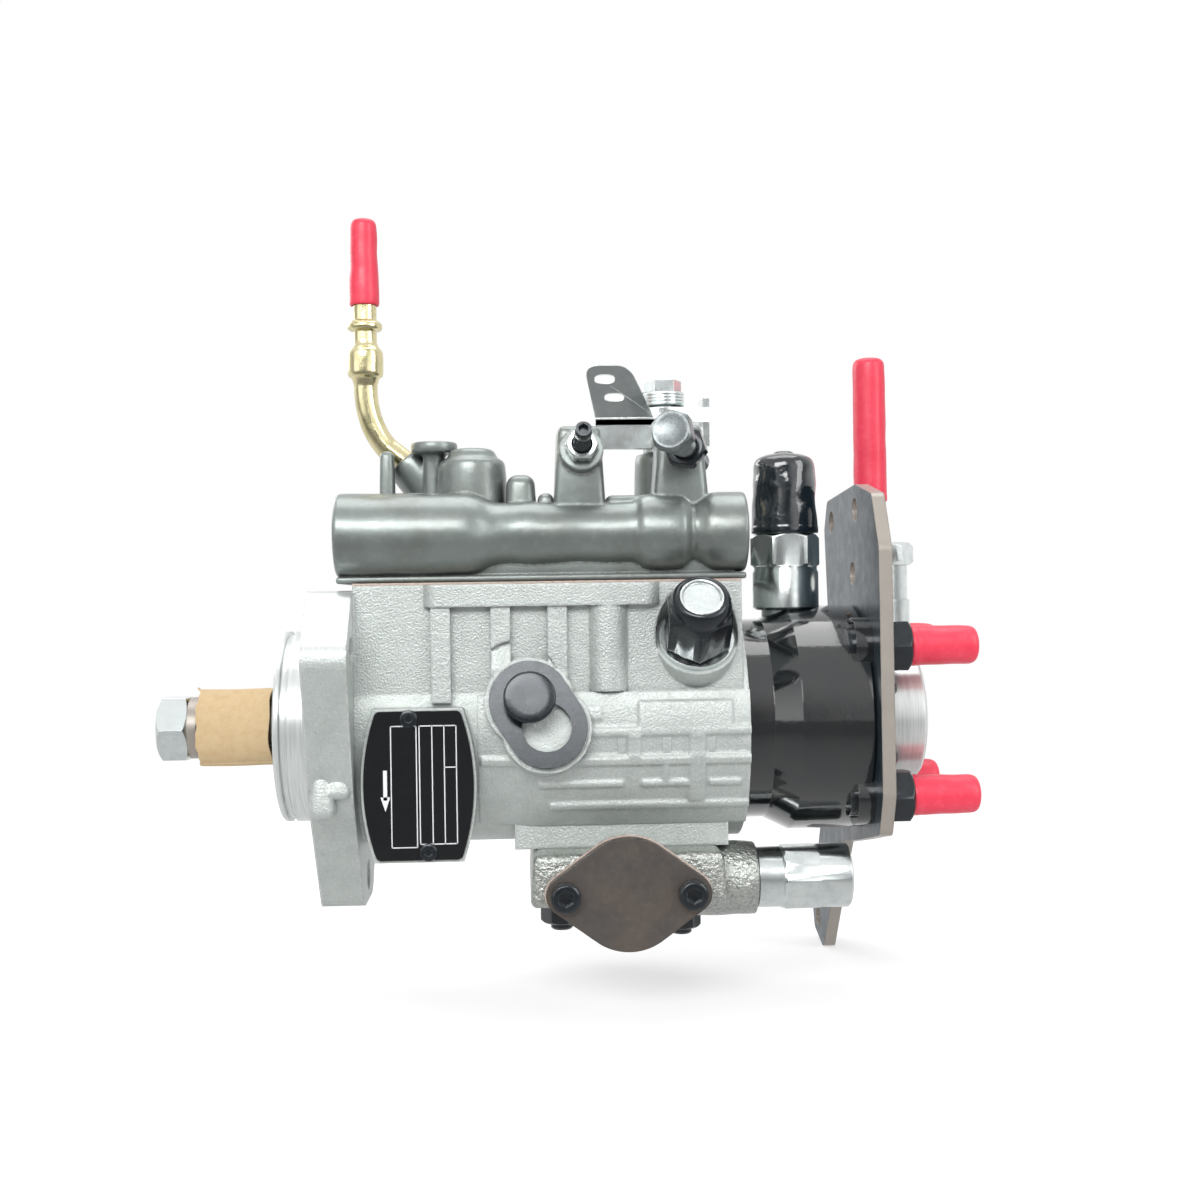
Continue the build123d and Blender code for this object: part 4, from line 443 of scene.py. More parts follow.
finishes = {
    # Sand-cast aluminium, left as cast: light matt grey, fine even grain, painted shade in
    # its recesses, and brighter milled faces at the flange and the pilot
    "cast_aluminium": finished(
        "sand_cast_aluminium", "bfc5c2", 0.44, metal=0.5, edge="eef1ef",
        edge_reach=1.3, spread=0.06, hollow_shade="5f6765",
        layers=(("a9b0ad", 7.0, 0.4, 0.75, 0.5), ("d6dad8", 1.0, 0.5, 0.75, 0.5),
                ("98a09d", 0.55, 0.54, 0.74, 0.6)),
        bumps=((0.7, 0.28, ROUND), (2.6, 0.05, ROUND)),
        milled=("e9eceb", 0.26, (((-20, -80, -80), (0.4, 80, 80)),
                                 ((-1, -80, 27.5), (15.4, -36, 80)),
                                 ((182, -30, -30), (230, 30, 30))))),
    # Clear satin paint over a smooth casting: grey with a green cast, soft waves, and
    # painted shade in its recesses
    "cover_paint": finished(
        "gloss_painted_casting", "828a87", 0.36, metal=0.6, coat=0.4, coat_rough=0.14,
        edge="c2c6c2", edge_reach=1.2, spread=0.05, hollow_shade="33302d",
        layers=(("6c6f6b", 16.0, 0.4, 0.75, 0.6), ("9ba19e", 3.0, 0.5, 0.8, 0.3)),
        bumps=((6.0, 0.12, ROUND), (0.9, 0.05, (0.5, 1, 6)))),
    # Black enamel on turned steel: deep gloss, with reflections that waver a little
    "black_gloss": finished(
        "black_enamel", "14181a", 0.1, coat=1.0, coat_rough=0.03, specular=0.6,
        edge="454a4c", edge_reach=0.5, spread=0.04,
        layers=(("231f1d", 9.0, 0.5, 0.8, 0.6),),
        bumps=((1.4, 0.04, ROUND), (9.0, 0.07, ROUND))),
    # Lacquered sheet: near black and even, with bright edges where it was stamped
    "black_plate": finished(
        "black_lacquered_plate", "07090c", 0.16, coat=0.6, coat_rough=0.04,
        edge="8d8f92", edge_reach=0.25, spread=0.03,
        layers=(("101317", 4.0, 0.45, 0.8, 0.5),), bumps=((1.1, 0.008, ROUND),)),
    # Phosphate coated sheet steel, oiled: dark satin faces and paler sheared rims
    "dark_steel": finished(
        "oiled_phosphate_steel", "35424c", 0.4, metal=0.4, coat=0.2, coat_rough=0.2,
        edge="9b958d", edge_reach=0.9, spread=0.08, cut=("a39c94", "X"),
        layers=(("4a565e", 6.0, 0.4, 0.75, 0.6), ("262d33", 0.8, 0.55, 0.8, 0.5)),
        bumps=((0.8, 0.04, ROUND), (9.0, 0.1, ROUND))),
    # Bright zinc plate on turned steel: white metal with fine tool lines, and painted shade
    # in its recesses
    "zinc": finished(
        "bright_zinc_plate", "e2e8e7", 0.21, metal=1.0, edge="f2f5f4", edge_reach=0.35,
        spread=0.06, hollow_shade="5a6264",
        layers=(("bcc6c8", 5.0, 0.4, 0.8, 0.6), ("eef0ee", 1.5, 0.5, 0.8, 0.3)),
        bumps=((0.5, 0.012, ROUND), (3.0, 0.03, ROUND))),
    # Yellow chromate over zinc on drawn tube: pale straw that drifts to green, and painted
    # shade in its recesses
    "yellow_zinc": finished(
        "yellow_chromate_zinc", "e3d8ae", 0.2, metal=1.0, edge="f6f0d2",
        edge_reach=0.4, spread=0.08, hollow_shade="5b5136",
        layers=(("b9b885", 7.0, 0.42, 0.7, 0.7), ("efe3b8", 3.0, 0.5, 0.75, 0.6),
                ("a9976a", 1.1, 0.6, 0.8, 0.35)),
        bumps=((0.8, 0.02, ROUND), (4.0, 0.06, ROUND))),
    # Dipped soft vinyl in red: soft gloss, with slow waves left by the dip
    "red_vinyl": finished(
        "dipped_red_vinyl", "ea3c55", 0.42, coat=0.12, coat_rough=0.16, under=0.1,
        edge_reach=0.5, spread=0.06,
        layers=(("dc2442", 8.0, 0.4, 0.8, 0.5), ("f85c74", 2.4, 0.5, 0.8, 0.4)),
        bumps=((6.0, 0.12, ROUND), (1.0, 0.006, ROUND))),
    # The same vinyl in black: wet gloss that bends its reflections
    "black_vinyl": finished(
        "dipped_black_vinyl", "111a20", 0.13, coat=0.8, coat_rough=0.05, specular=0.6,
        edge_reach=0.5, spread=0.04,
        layers=(("1a252d", 6.0, 0.45, 0.8, 0.6),),
        bumps=((5.0, 0.3, ROUND), (1.4, 0.02, ROUND))),
    # Kraft paper wound on the shaft: matt tan with long fibres and soft creases
    "kraft_paper": finished(
        "kraft_paper", "cfb58d", 0.88, spread=0.05, edge="efdcb9", edge_reach=0.5,
        layers=(("bf9f74", 3.0, 0.42, 0.75, 0.5), ("dfcba8", 0.5, 0.5, 0.8, 0.45)),
        bumps=((0.45, 0.03, (3, 1, 1)), (5.0, 0.25, (0.6, 1, 1)))),
    # Pressed fibre sheet: matt, pinkish grey where the cut edge frays
    "gasket": finished(
        "pressed_fibre_joint", "c3b1a6", 0.85, edge="e6d9cf", edge_reach=0.6,
        layers=(("8d7d73", 0.9, 0.45, 0.75, 0.6), ("d9c8bd", 2.0, 0.5, 0.8, 0.5)),
        bumps=((0.4, 0.08, ROUND),)),
    # Grey iron from a coarse sand mould, blasted: glittering coarse grain, and painted shade
    # in its recesses
    "cast_iron": finished(
        "blasted_cast_iron", "b3b6b1", 0.36, metal=0.85, edge="dfe1dd", edge_reach=1.2,
        spread=0.1, hollow_shade="3c403e",
        layers=(("7f8380", 1.3, 0.45, 0.7, 0.75), ("d8dbd7", 0.8, 0.55, 0.75, 0.6)),
        bumps=((1.5, 0.7, ROUND), (0.6, 0.2, ROUND))),
    # Cold rolled plate with an oiled brown film: flat satin with hair scratches
    "cover_brown": finished(
        "oiled_brown_plate", "645c56", 0.38, metal=0.55, edge="2c2725", edge_reach=0.5,
        spread=0.08,
        layers=(("565453", 14.0, 0.4, 0.7, 0.8), ("766b62", 2.2, 0.5, 0.8, 0.4)),
        bumps=((0.5, 0.01, (1, 1, 9)), (7.0, 0.1, ROUND))),
    # Ground and hardened steel of the inner pieces: bright, with lengthwise lines
    "hard_steel": finished(
        "ground_hard_steel", "b4b8ba", 0.24, metal=1.0, edge="dcdfe0", edge_reach=0.3,
        layers=(("82868a", 3.0, 0.4, 0.8, 0.5),), bumps=((0.5, 0.01, (1, 1, 5)),)),
    # Black oxide on machined screws and nuts: oily blue-black
    "black_oxide": finished(
        "oiled_black_oxide", "1d2328", 0.26, metal=0.5, coat=0.5, coat_rough=0.16,
        edge="6b747b", edge_reach=0.35, spread=0.06,
        layers=(("2a3037", 2.0, 0.45, 0.8, 0.6),), bumps=((0.7, 0.03, ROUND),)),
    # Turned bronze of the bushes: warm satin with tool lines
    "bronze": finished(
        "turned_bronze", "a07c48", 0.3, metal=1.0, edge="c9a76f",
        layers=(("8a6a3c", 3.0, 0.4, 0.8, 0.5),), bumps=((0.5, 0.01, (1, 1, 5)),)),
    # Moulded nitrile of the seals: matt black
    "nitrile": finished(
        "moulded_nitrile", "161616", 0.55, edge="2c2c2c",
        layers=(("202020", 1.5, 0.4, 0.8, 0.5),), bumps=((0.6, 0.01, ROUND),)),
}

for piece in frame["nodes"].values():
    for holder in piece.material_slots:
        base = holder.material.name.split(".")[0] if holder.material else ""
        if base in finishes:
            holder.material = finishes[base]

# Pieces


along_x, upright = (1, 0, 0), (0, 0, 1)


def body_of(name):
    """The body that carries a CAD node."""
    return frame["nodes"][name]["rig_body"]


def box_of(name):
    """The low and high corner of a CAD node, in millimetres."""
    low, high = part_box(name)
    return low / MM, high / MM


def dipped_cap(low, high, foot, radius, nipple=0.0, lip=0.5):
    """A vinyl cap pulled over a spigot: a straight wall that swells and shrinks a little
    along its length, a rounded end, and a soft lip at its open end. Returned as the
    profile (height, radius) from the inside of the lip to the crown."""
    stations = [
        (low + lip, foot), (low, foot), (low, radius + 0.25), (low + 2.2, radius + 0.25),
        (low + 3.2, radius), (high - 0.75 * radius, radius * 0.985),
        (high - 0.18 * radius, radius * 0.93), (high, radius * 0.55), (high, 0)]
    if nipple:
        stations[-2:] = [(high, radius * 0.6), (high + 0.1, nipple * 1.3),
                         (high + 1.2, nipple), (high + 1.5, 0)]
    return soft_profile([(low + lip, 0), *stations], 3)


def ripple(seed, size=0.18, long=9.0):
    """A swell for a dipped wall: a few slow waves along it and round it."""
    rng = np.random.default_rng(seed)
    phase, turns = rng.uniform(0, TURN, 4), np.array([1, 2, 3, 2])
    share = np.array([0.4, 0.3, 0.15, 0.15])

    def swell(height, angle):
        wave = height[..., None] * TURN / (long * (1 + 0.4 * np.arange(4)))
        return size * (share * np.sin(wave + turns * angle[..., None] + phase)).sum(-1)

    return swell


# Delivery caps: four red vinyl caps pushed over the union noses
low, high = box_of("delivery_caps")
union_circle = 37
cap_places = [(union_circle * math.cos(math.radians(a)), union_circle * math.sin(math.radians(a)))
              for a in (45, 135, 225, 315)]
cap_grids = [
    turned((0, y, z), along_x, dipped_cap(low.x, high.x - 0.2, 6.15, 6.95), 56,
           ripple(11 + index, 0.16, 11))
    for index, (y, z) in enumerate(cap_places)]
dress(surface("red_delivery_caps", cap_grids), body_of("delivery_caps"), "red_vinyl",
      ["delivery_caps"])

# Return pipe cap: a wide skirt over the bead and a narrower end
low, high = box_of("return_cap")
middle = (low + high) / 2
foot, top = low.z, high.z
profile = soft_profile([
    (foot + 0.6, 0), (foot + 0.6, 4.3), (foot, 4.4), (foot, 5.3), (foot + 3, 5.3),
    (foot + 11, 5.15), (foot + 13, 4.85), (top - 4, 4.75), (top - 1.0, 4.4), (top, 2.6),
    (top, 0)], 3)
dress(surface("red_return_cap", [turned((middle.x, middle.y, 0), upright, profile, 56,
                                        ripple(3, 0.14, 10))]),
      body_of("return_cap"), "red_vinyl", ["return_cap"])

# Inlet cap: the long red cap on the inlet spigot
low, high = box_of("inlet_cap")
middle = (low + high) / 2
profile = dipped_cap(low.z, high.z - 0.1, 6.2, 6.6)
dress(surface("red_inlet_cap", [turned((middle.x, middle.y, 0), upright, profile, 64,
                                       ripple(8, 0.16, 14))]),
      body_of("inlet_cap"), "red_vinyl", ["inlet_cap"])

# Solenoid boot: black dipped vinyl that sags in folds over the terminal
boot_low, boot_high = box_of("solenoid_boot")
middle = (boot_low + boot_high) / 2


def boot_folds(height, angle):
    """Dents that deepen towards the middle of the wall, strongest on two sides."""
    level = (height - boot_low.z) / (boot_high.z - boot_low.z)
    band = np.exp(-((level - 0.42) / 0.16) ** 2) + 0.6 * np.exp(-((level - 0.72) / 0.1) ** 2)
    fold = 0.45 * np.cos(3 * angle + 6 * level) + 0.35 * np.cos(5 * angle - 9 * level + 1)
    return band * (fold - 0.75) * 0.75


profile = dipped_cap(boot_low.z, boot_high.z - 1.7, 10.8, 12.0, nipple=3.2)
dress(surface("vinyl_boot", [turned((middle.x, middle.y, 0), upright, profile, 96,
                                    boot_folds)]),
      body_of("solenoid_boot"), "black_vinyl", ["solenoid_boot"])

# Governor cover: a shell of rounded blocks behind a tube that swells and narrows
tube_line = soft_profile([
    (8.6, 0), (8.6, 12.6), (9.6, 14.4), (12, 14.5), (51, 14.5), (56, 14.0), (61, 11.6),
    (65, 11.0), (73, 11.5), (80, 10.9), (108, 10.9), (111, 11.4), (113.5, 13.4),
    (126, 13.5), (128, 12.2), (130, 10.3), (132.5, 11.2), (136, 13.6), (145, 13.9),
    (147.8, 13.9), (148.5, 13.0), (148.5, 10.2), (147.6, 9.8), (147.6, 0)], 2)


def tube_swell(height, angle):
    """Slow waves along the tube, and shallow scallops on its front where it narrows."""
    front = 0.5 + 0.5 * np.cos(angle)
    scallop = np.exp(-((height - 70) / 5) ** 2) + np.exp(-((height - 93) / 9) ** 2)
    return 0.12 * np.sin(height * 0.31 + 2 * angle) - 0.7 * front ** 2 * scallop


cover_foot = 50.3
tube_axis = (0, -31, 66.5)
idle_foot = (92.5, -36, 94.5)
speed_foot = (129.5, -36, 93.5)
throttle_x, throttle_y = 124.7, 8
pipe_x, pipe_y, pipe_top = 17, -5, 165
pipe_boss = np.array((36.5, -5, 88))
cover_blocks = (
    # Foot of the tube, front flange, back flange, hump
    ((12, -35, cover_foot), (145, -22, 58), 1.6, (0, 0)),
    ((9.2, -37.6, cover_foot), (148.2, 6, 52.6), 0.9, (0, 0)),
    ((12, 0, cover_foot), (145.5, 44, 60.2), 2.2, (0, 0)),
    ((20, -30, 52), (140, 30, 76), 5.0, (2.0, 1.5)),
    # Lump beside the turret, boss of the idle screw, boss of the speed screw
    ((66, -33, 66), (77.5, -22, 87), 3.5, (1.0, 1.0)),
    ((82.4, -36, 66), (101.2, -18, 103.2), 2.6, (2.0, 0.8)),
    ((116, -36, 66), (137, -18, 103.4), 2.8, (3.0, 0.8)),
    # Front lug, and the webs that run out from the bosses
    ((22, -17.5, 68), (28, -10.5, 97), 2.0, (0.6, 0.6)),
    ((77, -34, 70), (83.5, -20, 80.5), 2.4, (0.6, 0.6)),
    ((100, -34, 70), (117, -20, 79.5), 2.4, (0.6, 0.6)),
)
cover_parts = [turned(tube_axis, along_x, tube_line, 96, tube_swell)]
cover_parts += [block(*corners) for corners in cover_blocks]
turret = soft_profile([(60, 0), (60, 12.4), (84, 12.0), (90.5, 11.6), (92.5, 11.0),
                       (93.4, 9.4), (94.2, 8.6), (96.2, 7.6), (97, 5.5), (97, 0)], 2)
lug = soft_profile([(60, 0), (60, 4.6), (94, 3.8), (95.6, 4.4), (96, 7.8), (97, 8.2),
                    (99, 8.2), (100, 7.6), (100, 0)], 2)
cover_parts += [
    turned((55, -20, 0), upright, turret, 72),
    turned((41.5, -14, 0), upright, lug, 56),
    turned((throttle_x, throttle_y, 0), upright, soft_profile([
        (60, 0), (60, 11.6), (92, 10.8), (96, 10.4), (97, 9.6), (97, 5.05), (90, 5.05),
        (90, 0)], 2), 64),
]
boss_way = np.array((pipe_x, pipe_y, 112)) - pipe_boss
cover_parts.append(turned(pipe_boss, boss_way, soft_profile([
    (-22, 0), (-22, 9), (4, 8.4), (8, 8.0), (9, 7.2), (9, 0)], 2), 56))


def out_front(tilt, yaw=0.0):
    """The direction out of the front face, tilted up and turned to the left by degrees."""
    tilt, yaw = math.radians(tilt), math.radians(yaw)
    return np.array((-math.sin(yaw) * math.cos(tilt), -math.cos(yaw) * math.cos(tilt),
                     math.sin(tilt)))


idle_way = out_front(14.5)
cover_parts.append(turned(
    idle_foot, idle_way, [(-4, 0), (-4, 7.5), (1.6, 7.5), (2.0, 7.1), (2.0, 0)], 56))
dress(surface("cover_casting", cover_parts, 40), body_of("governor_cover"), "cover_paint",
      ["governor_cover"])

# Two finishes of single pieces: a speckled screw head, and the ink on the plate
worn_steel = finished(
    "rubbed_phosphate_steel", "7c8283", 0.34, metal=0.7, edge="b4b8b6", edge_reach=0.4,
    spread=0.08, layers=(("4c5152", 0.8, 0.5, 0.75, 0.7), ("a3a8a6", 2.0, 0.5, 0.8, 0.5)),
    bumps=((0.7, 0.05, ROUND),))
white_ink = finished(
    "printed_white_ink", "e6e9ea", 0.55, layers=(("c9cdcf", 0.9, 0.5, 0.8, 0.4),))

# Idle screw with its thread and the hexagon socket in its end, and its locknut
dress(surface("idle_screw_thread", [
    thread(idle_foot, idle_way, -13, 15.6, 2.97, 1.0, 0.45),
    turned(idle_foot, idle_way, [
        (15.5, 0), (15.5, 2.5), (16.2, 2.9), (19.8, 2.9), (20.7, 2.5),
        (20.7, 1.9, 1.6), (18.2, 1.9, 1.6), (18.2, 0)], 48)]),
    body_of("idle_screw"), "black_oxide", ["idle_screw"])
dress(surface("idle_nut", [turned(idle_foot, idle_way, [
    (2.05, 3.05), (2.05, 4.9), (2.6, 5.7, 5), (6.2, 5.7, 5), (7, 4.7, 5), (7, 3.6),
    (6.4, 3.05), (2.05, 3.05)], 72, turn=30)]),
    body_of("idle_locknut"), "zinc", ["idle_locknut"])

# Maximum speed screw: a plated hexagon head on a threaded shank, and its locknut
speed_way = out_front(11, 20)
dress(surface("speed_screw_body", [
    thread(speed_foot, speed_way, -13, 17, 3.96, 1.25, 0.6),
    turned(speed_foot, speed_way, [
        (16.8, 0), (16.8, 3.9), (20.4, 3.9), (20.6, 5.9), (21, 6.1), (21.3, 7.45, 6.5),
        (25.6, 7.45, 6.5), (27, 6.1, 6.5), (27, 5.0), (26.8, 4.6), (26.8, 0)], 72, turn=12)]),
    body_of("speed_screw"), "black_oxide", ["speed_screw"], worn_steel)
dress(surface("speed_nut", [turned(speed_foot, speed_way, [
    (3, 4.05), (3, 6.2), (3.7, 7.4, 6.5), (7.2, 7.4, 6.5), (8, 6.1, 6.5), (8, 4.6),
    (7.5, 4.05), (3, 4.05)], 72, turn=20)]),
    body_of("speed_locknut"), "black_oxide", ["speed_locknut"])


def sheet(origin, right, up):
    """A place function for plates: the outline runs along right and up from the origin,
    and its levels run along their cross product."""
    origin, right, up = (np.asarray(v, float) for v in (origin, right, up))
    out = np.cross(right, up)
    return lambda u, v, w: (origin + u[:, None] * right + v[:, None] * up + w[:, None] * out)


# Throttle lever: an arm from the shaft, an upright web, and a tab with two slots
level_sheet = sheet((0, 0, 0), (1, 0, 0), (0, 1, 0))
lever_eye, web_top, web_face, web_thick = 10, 107.6, -12.5, 2.5
arm_outline = np.concatenate([
    [(98.6, -13.2), (98.6, -15.0), (119.6, -15.0)],
    [(throttle_x + lever_eye * math.cos(a), throttle_y + lever_eye * math.sin(a))
     for a in np.linspace(-1.0, 2.75, 24)]])


def lean_forward(u, v, w):
    """The web stands upright, and above its bend the tab leans to the front by 15
    degrees: past the bend each point turns about it."""
    past = np.clip(v - web_top, 0, None)
    tilt = math.radians(15) * np.clip(past / web_thick, 0, 1)
    return np.stack([u, web_face - w - np.sin(tilt) * past, v - past * (1 - np.cos(tilt))], 1)


tab_outline = eased([(98.6, 97), (119.6, 97), (119.6, web_top), (110.3, 126.6),
                     (94.5, 126.6), (98.6, web_top)], [1.5, 1.5, 1.5, 5, 5, 1.5], 9)
dress(surface("lever_casting", [], plates=[
    plate(arm_outline, [oval(throttle_x, throttle_y, 10.1)], 105.5, 108.0, level_sheet),
    plate(tab_outline, [oval(101.8, 121.8, 7.2, 3.3, power=2.6)[::-1],
                        oval(105.2, 115.4, 7.0, 2.9, power=2.6)[::-1]],
          0.0, web_thick, lean_forward)]),
    body_of("throttle_lever"), "zinc", ["throttle_lever"])

# Torsion spring: a wire that climbs round the shaft, its foot on the spring plate
climb = np.linspace(0, 4.4 * TURN, 300)
coil_radius, coil_foot, coil_pitch, wire = 7.0, 114.5, 1.15, 0.9
coil = np.stack([throttle_x + coil_radius * np.cos(climb),
                 throttle_y + coil_radius * np.sin(climb),
                 coil_foot + climb / TURN * coil_pitch], 1)
leg = np.linspace(0, 1, 12)[1:, None]
coil = np.concatenate([coil, coil[-1] + leg * np.array([-9.0, -7.5, 0.6])])
dress(surface("torsion_coil", [tube(coil, wire, 12)], 60), body_of("throttle_coil"),
      "zinc", ["throttle_coil"])

# Side port: the black cap nut with a bright insert in its crown
port_out = out_front(38)
port_seat = port_out * 48 + (130.5, 0, 0)
dress(surface("port_cap_nut", [turned(port_seat, port_out, [
    (2, 0), (2, 9.8), (2.5, 10.4), (3.1, 12.1, 10.5), (16.4, 12.1, 10.5),
    (18.6, 10.4, 10.5), (19.1, 10.3), (20.4, 10.3), (22.6, 9.6), (23.6, 8.8),
    (24, 8.2), (24, 7.7), (23.4, 7.6), (22.4, 7.6), (22.4, 0)], 96)]),
    body_of("port_nut"), "black_oxide", ["port_nut"])
dress(surface("port_insert_disc", [turned(port_seat, port_out, [
    (22.3, 0), (22.3, 7.5), (23.7, 7.5), (24.0, 7.2), (24.0, 6.7), (23.7, 6.4),
    (23.0, 6.1), (23.0, 0)], 72)]),
    body_of("port_nut"), "black_oxide", finish=finishes["zinc"])

# Shaft lock screw: a round head with a bright hexagon under it
lock_out = out_front(12.5)
lock_seat = lock_out * 46.5 + (73.6, 0, 0)
dress(surface("lock_screw_head", [turned(lock_seat, lock_out, soft_profile([
    (8.6, 0), (8.6, 8.4), (9.0, 8.6), (11.0, 8.6), (11.6, 8.3), (11.8, 7.4),
    (11.75, 0)], 1), 96)]),
    body_of("lock_screw"), "black_oxide", ["lock_screw"])
dress(surface("lock_screw_hexagon", [turned(lock_seat, lock_out, [
    (-6, 0), (-6, 4), (3.3, 4), (3.3, 7.0), (3.7, 8.0, 7), (8.2, 8.0, 7), (8.7, 7.2, 7),
    (8.7, 0)], 72)]),
    body_of("lock_screw"), "black_oxide", finish=finishes["zinc"])

# Return pipe: a bent tube with a bead and a collar
bend = np.linspace(0, 1, 40)[:, None]
elbow_in, elbow, elbow_out = (np.array(v, float) for v in (
    (pipe_x, pipe_y, 121), (pipe_x, pipe_y, 108), (pipe_x + 6.8, pipe_y, 99.6)))
pipe_line = np.concatenate([
    np.linspace((pipe_x, pipe_y, pipe_top), (pipe_x, pipe_y, 122), 40),
    (1 - bend) ** 2 * elbow_in + 2 * bend * (1 - bend) * elbow + bend ** 2 * elbow_out,
    np.linspace(elbow_out + (0.6, 0, -0.75), pipe_boss + (-3.0, 0, 3.7), 12)])
dress(surface("bent_return_pipe", [
    tube(pipe_line, 4.2, 40),
    turned((pipe_x, pipe_y, 0), upright, soft_profile([
        (140.6, 4.1), (141, 5.4), (141.6, 6.2), (143.2, 6.2), (144.2, 5.2), (144.8, 4.1)], 2), 48),
    turned((pipe_x, pipe_y, 0), upright, soft_profile([
        (121, 4.1), (122.5, 4.5), (124.2, 5.0), (124.6, 6.3), (128, 6.4), (133.2, 6.4),
        (134.2, 5.7), (135.5, 4.6), (137.5, 4.1)], 2), 48)], 50),
    body_of("return_pipe"), "yellow_zinc", ["return_pipe"])

# Solenoid: a turned body under a chamfered hexagon
solenoid_axis = (168, 0, 0)
dress(surface("solenoid_body", [
    turned(solenoid_axis, upright, [
        (41, 0), (41, 3.05), (25, 3.05), (25, 9), (39, 9), (39.2, 11.2), (40, 12),
        (52.6, 12), (53.6, 11.5), (55, 11.5), (55, 0)], 96),
    turned(solenoid_axis, upright, [
        (54.6, 0), (54.6, 11.4), (55.6, 12.7, 11), (65.2, 12.7, 11), (66.5, 11.2, 11),
        (66.5, 10.5), (89, 10.5), (89.5, 10), (89.5, 0)], 96)]),
    body_of("shutoff_solenoid"), "zinc", ["shutoff_solenoid"])

# Inlet union: a chamfered hexagon with a beaded spigot above it
low, high = box_of("inlet_union")
middle = (low + high) / 2
dress(surface("inlet_union_hexagon", [turned((middle.x, middle.y, 0), upright, [
    (56, 3.5), (56, 15.2), (57.4, 17.3, 15), (63.5, 17.3, 15), (65, 15.2, 15), (65, 7),
    (66, 5.6), (78, 5.6), (79, 6.1), (80.5, 6.1), (81.5, 5.6), (99, 5.6), (100, 5),
    (100, 3.5), (56, 3.5)], 96)]),
    body_of("inlet_union"), "zinc", ["inlet_union"])

# Delivery unions: chamfered hexagons with bored noses under the caps
union_profile = [
    (184, 0), (184, 6.8), (196.6, 6.8), (196.6, 8.5), (197.6, 9.8, 8.5), (205, 9.8, 8.5),
    (206.1, 8.5, 8.5), (206.1, 5.9), (221.1, 5.9), (221.1, 1.5), (213.1, 1.5), (213.1, 0)]
dress(surface("union_bodies", [
    turned((0, y, z), along_x, union_profile, 72, turn=30) for y, z in cap_places]),
    body_of("delivery_unions"), "black_oxide", ["delivery_unions"])

# Paper sleeve: a wound sheet whose torn corner stands off the shaft
along = np.linspace(0, 1, 40)[:, None]
round_it = np.linspace(0, TURN, 193)[None, :]
from_tear = np.mod(round_it - 0.30 * TURN + math.pi, TURN) - math.pi
torn = np.clip(1 - np.abs(from_tear) / 0.17, 0, 1)
fray = 0.25 * np.sin(7 * round_it + 1) + 0.15 * np.sin(17 * round_it)
start = -43.2 + fray - 3.4 * torn ** 1.3
sleeve_x = start + along * (-17.8 + 0.3 * np.sin(5 * round_it) - start)
seam = 0.35 * np.mod(round_it / TURN + 0.18, 1.0)
lift = 1.6 * torn * np.exp(-((sleeve_x + 46.6) / 2.0) ** 2)
wall = 13.5 + seam + 0.12 * np.sin(3 * round_it + 0.2 * sleeve_x) + lift
inner = np.full_like(wall, 12.9) + lift


def about_x(height, radius, angle):
    """Points at a radius and an angle about the X axis, at a height along it."""
    return np.stack([height, -radius * np.cos(angle), radius * np.sin(angle)], -1)


outside = about_x(sleeve_x, wall, round_it + 0 * sleeve_x)
inside = about_x(sleeve_x, inner, round_it + 0 * sleeve_x)
dress(surface("wound_paper", [np.concatenate([outside, inside[::-1], outside[:1]])]),
      body_of("paper_sleeve"), "kraft_paper", ["paper_sleeve"])

# Barrel skin: the as-cast pattern of ledges and ribs that follows the barrel's round
ribs = (
    (110, 142, -1.2, 9.4, 1.1), (89.5, 149, -2.0, 0.8, 1.2), (57, 70.6, -11.8, -8.8, 1.1),
    (75.3, 149, -11.8, -8.8, 1.3), (106.2, 110.9, -10, -1, 1.3), (127, 132.7, -25, -1, 1.2),
    (118, 120.4, -18, -10, 1.0), (76, 105, -19.4, -17.2, 1.0), (111, 128, -19.4, -17.2, 1.0),
    (134, 145, -19.4, -17.2, 1.0), (80, 149, -27.2, -24.8, 1.2), (86, 98, 3.5, 8, 0.5))


def rise(value, low, high, soft):
    """A smooth step up at low and down at high, each soft millimetres wide."""
    up, down = (value - low) / soft, (high - value) / soft
    return 1 / (1 + np.exp(-4 * up)) / (1 + np.exp(-4 * down))


skin_foot, skin_height, skin_root = 42.08, 1.62, 40.5
skin_x, skin_turn = np.meshgrid(
    np.linspace(56, 148, 231), np.radians(np.linspace(-51, 17.1, 131)), indexing="xy")
skin_z = 43.6 * np.sin(skin_turn)
lead = np.clip((skin_x - 60) / 17, 0, 1)
skin_r = skin_foot + skin_height * lead ** 2 * (3 - 2 * lead)
for x0, x1, z0, z1, height in ribs:
    rib = height * rise(skin_x, x0, x1, 0.6) * rise(skin_z, z0, z1, 0.55)
    skin_r = np.maximum(skin_r, skin_foot + skin_height * lead + rib)
skin_r -= 0.35 * rise(skin_z, -8.0, -2.9, 0.7) * rise(skin_x, 84, 146, 2)
skin = about_x(skin_x, skin_r, skin_turn)
rim = about_x(skin_x, skin_root, skin_turn)
skin = np.concatenate([rim[:1], skin, rim[-1:]])
rim = np.concatenate([rim[:1], rim, rim[-1:]])
skin = np.concatenate([rim[:, :1], skin, rim[:, -1:]], 1)
dress(surface("barrel_skin", [skin], 60), body_of("pump_housing"), "cast_aluminium")

# Flange side boss: a soft cast lump on the front edge of the flange
dress(surface("flange_boss", [
    block((-0.3, -50.2, -27.5), (9.5, -38, -11.5), 3.4, (1.5, 2.0)),
    block((5, -49.4, -21), (14.8, -38, -13), 3.0, (1.5, 1.5))], 50),
    body_of("pump_housing"), "cast_aluminium")

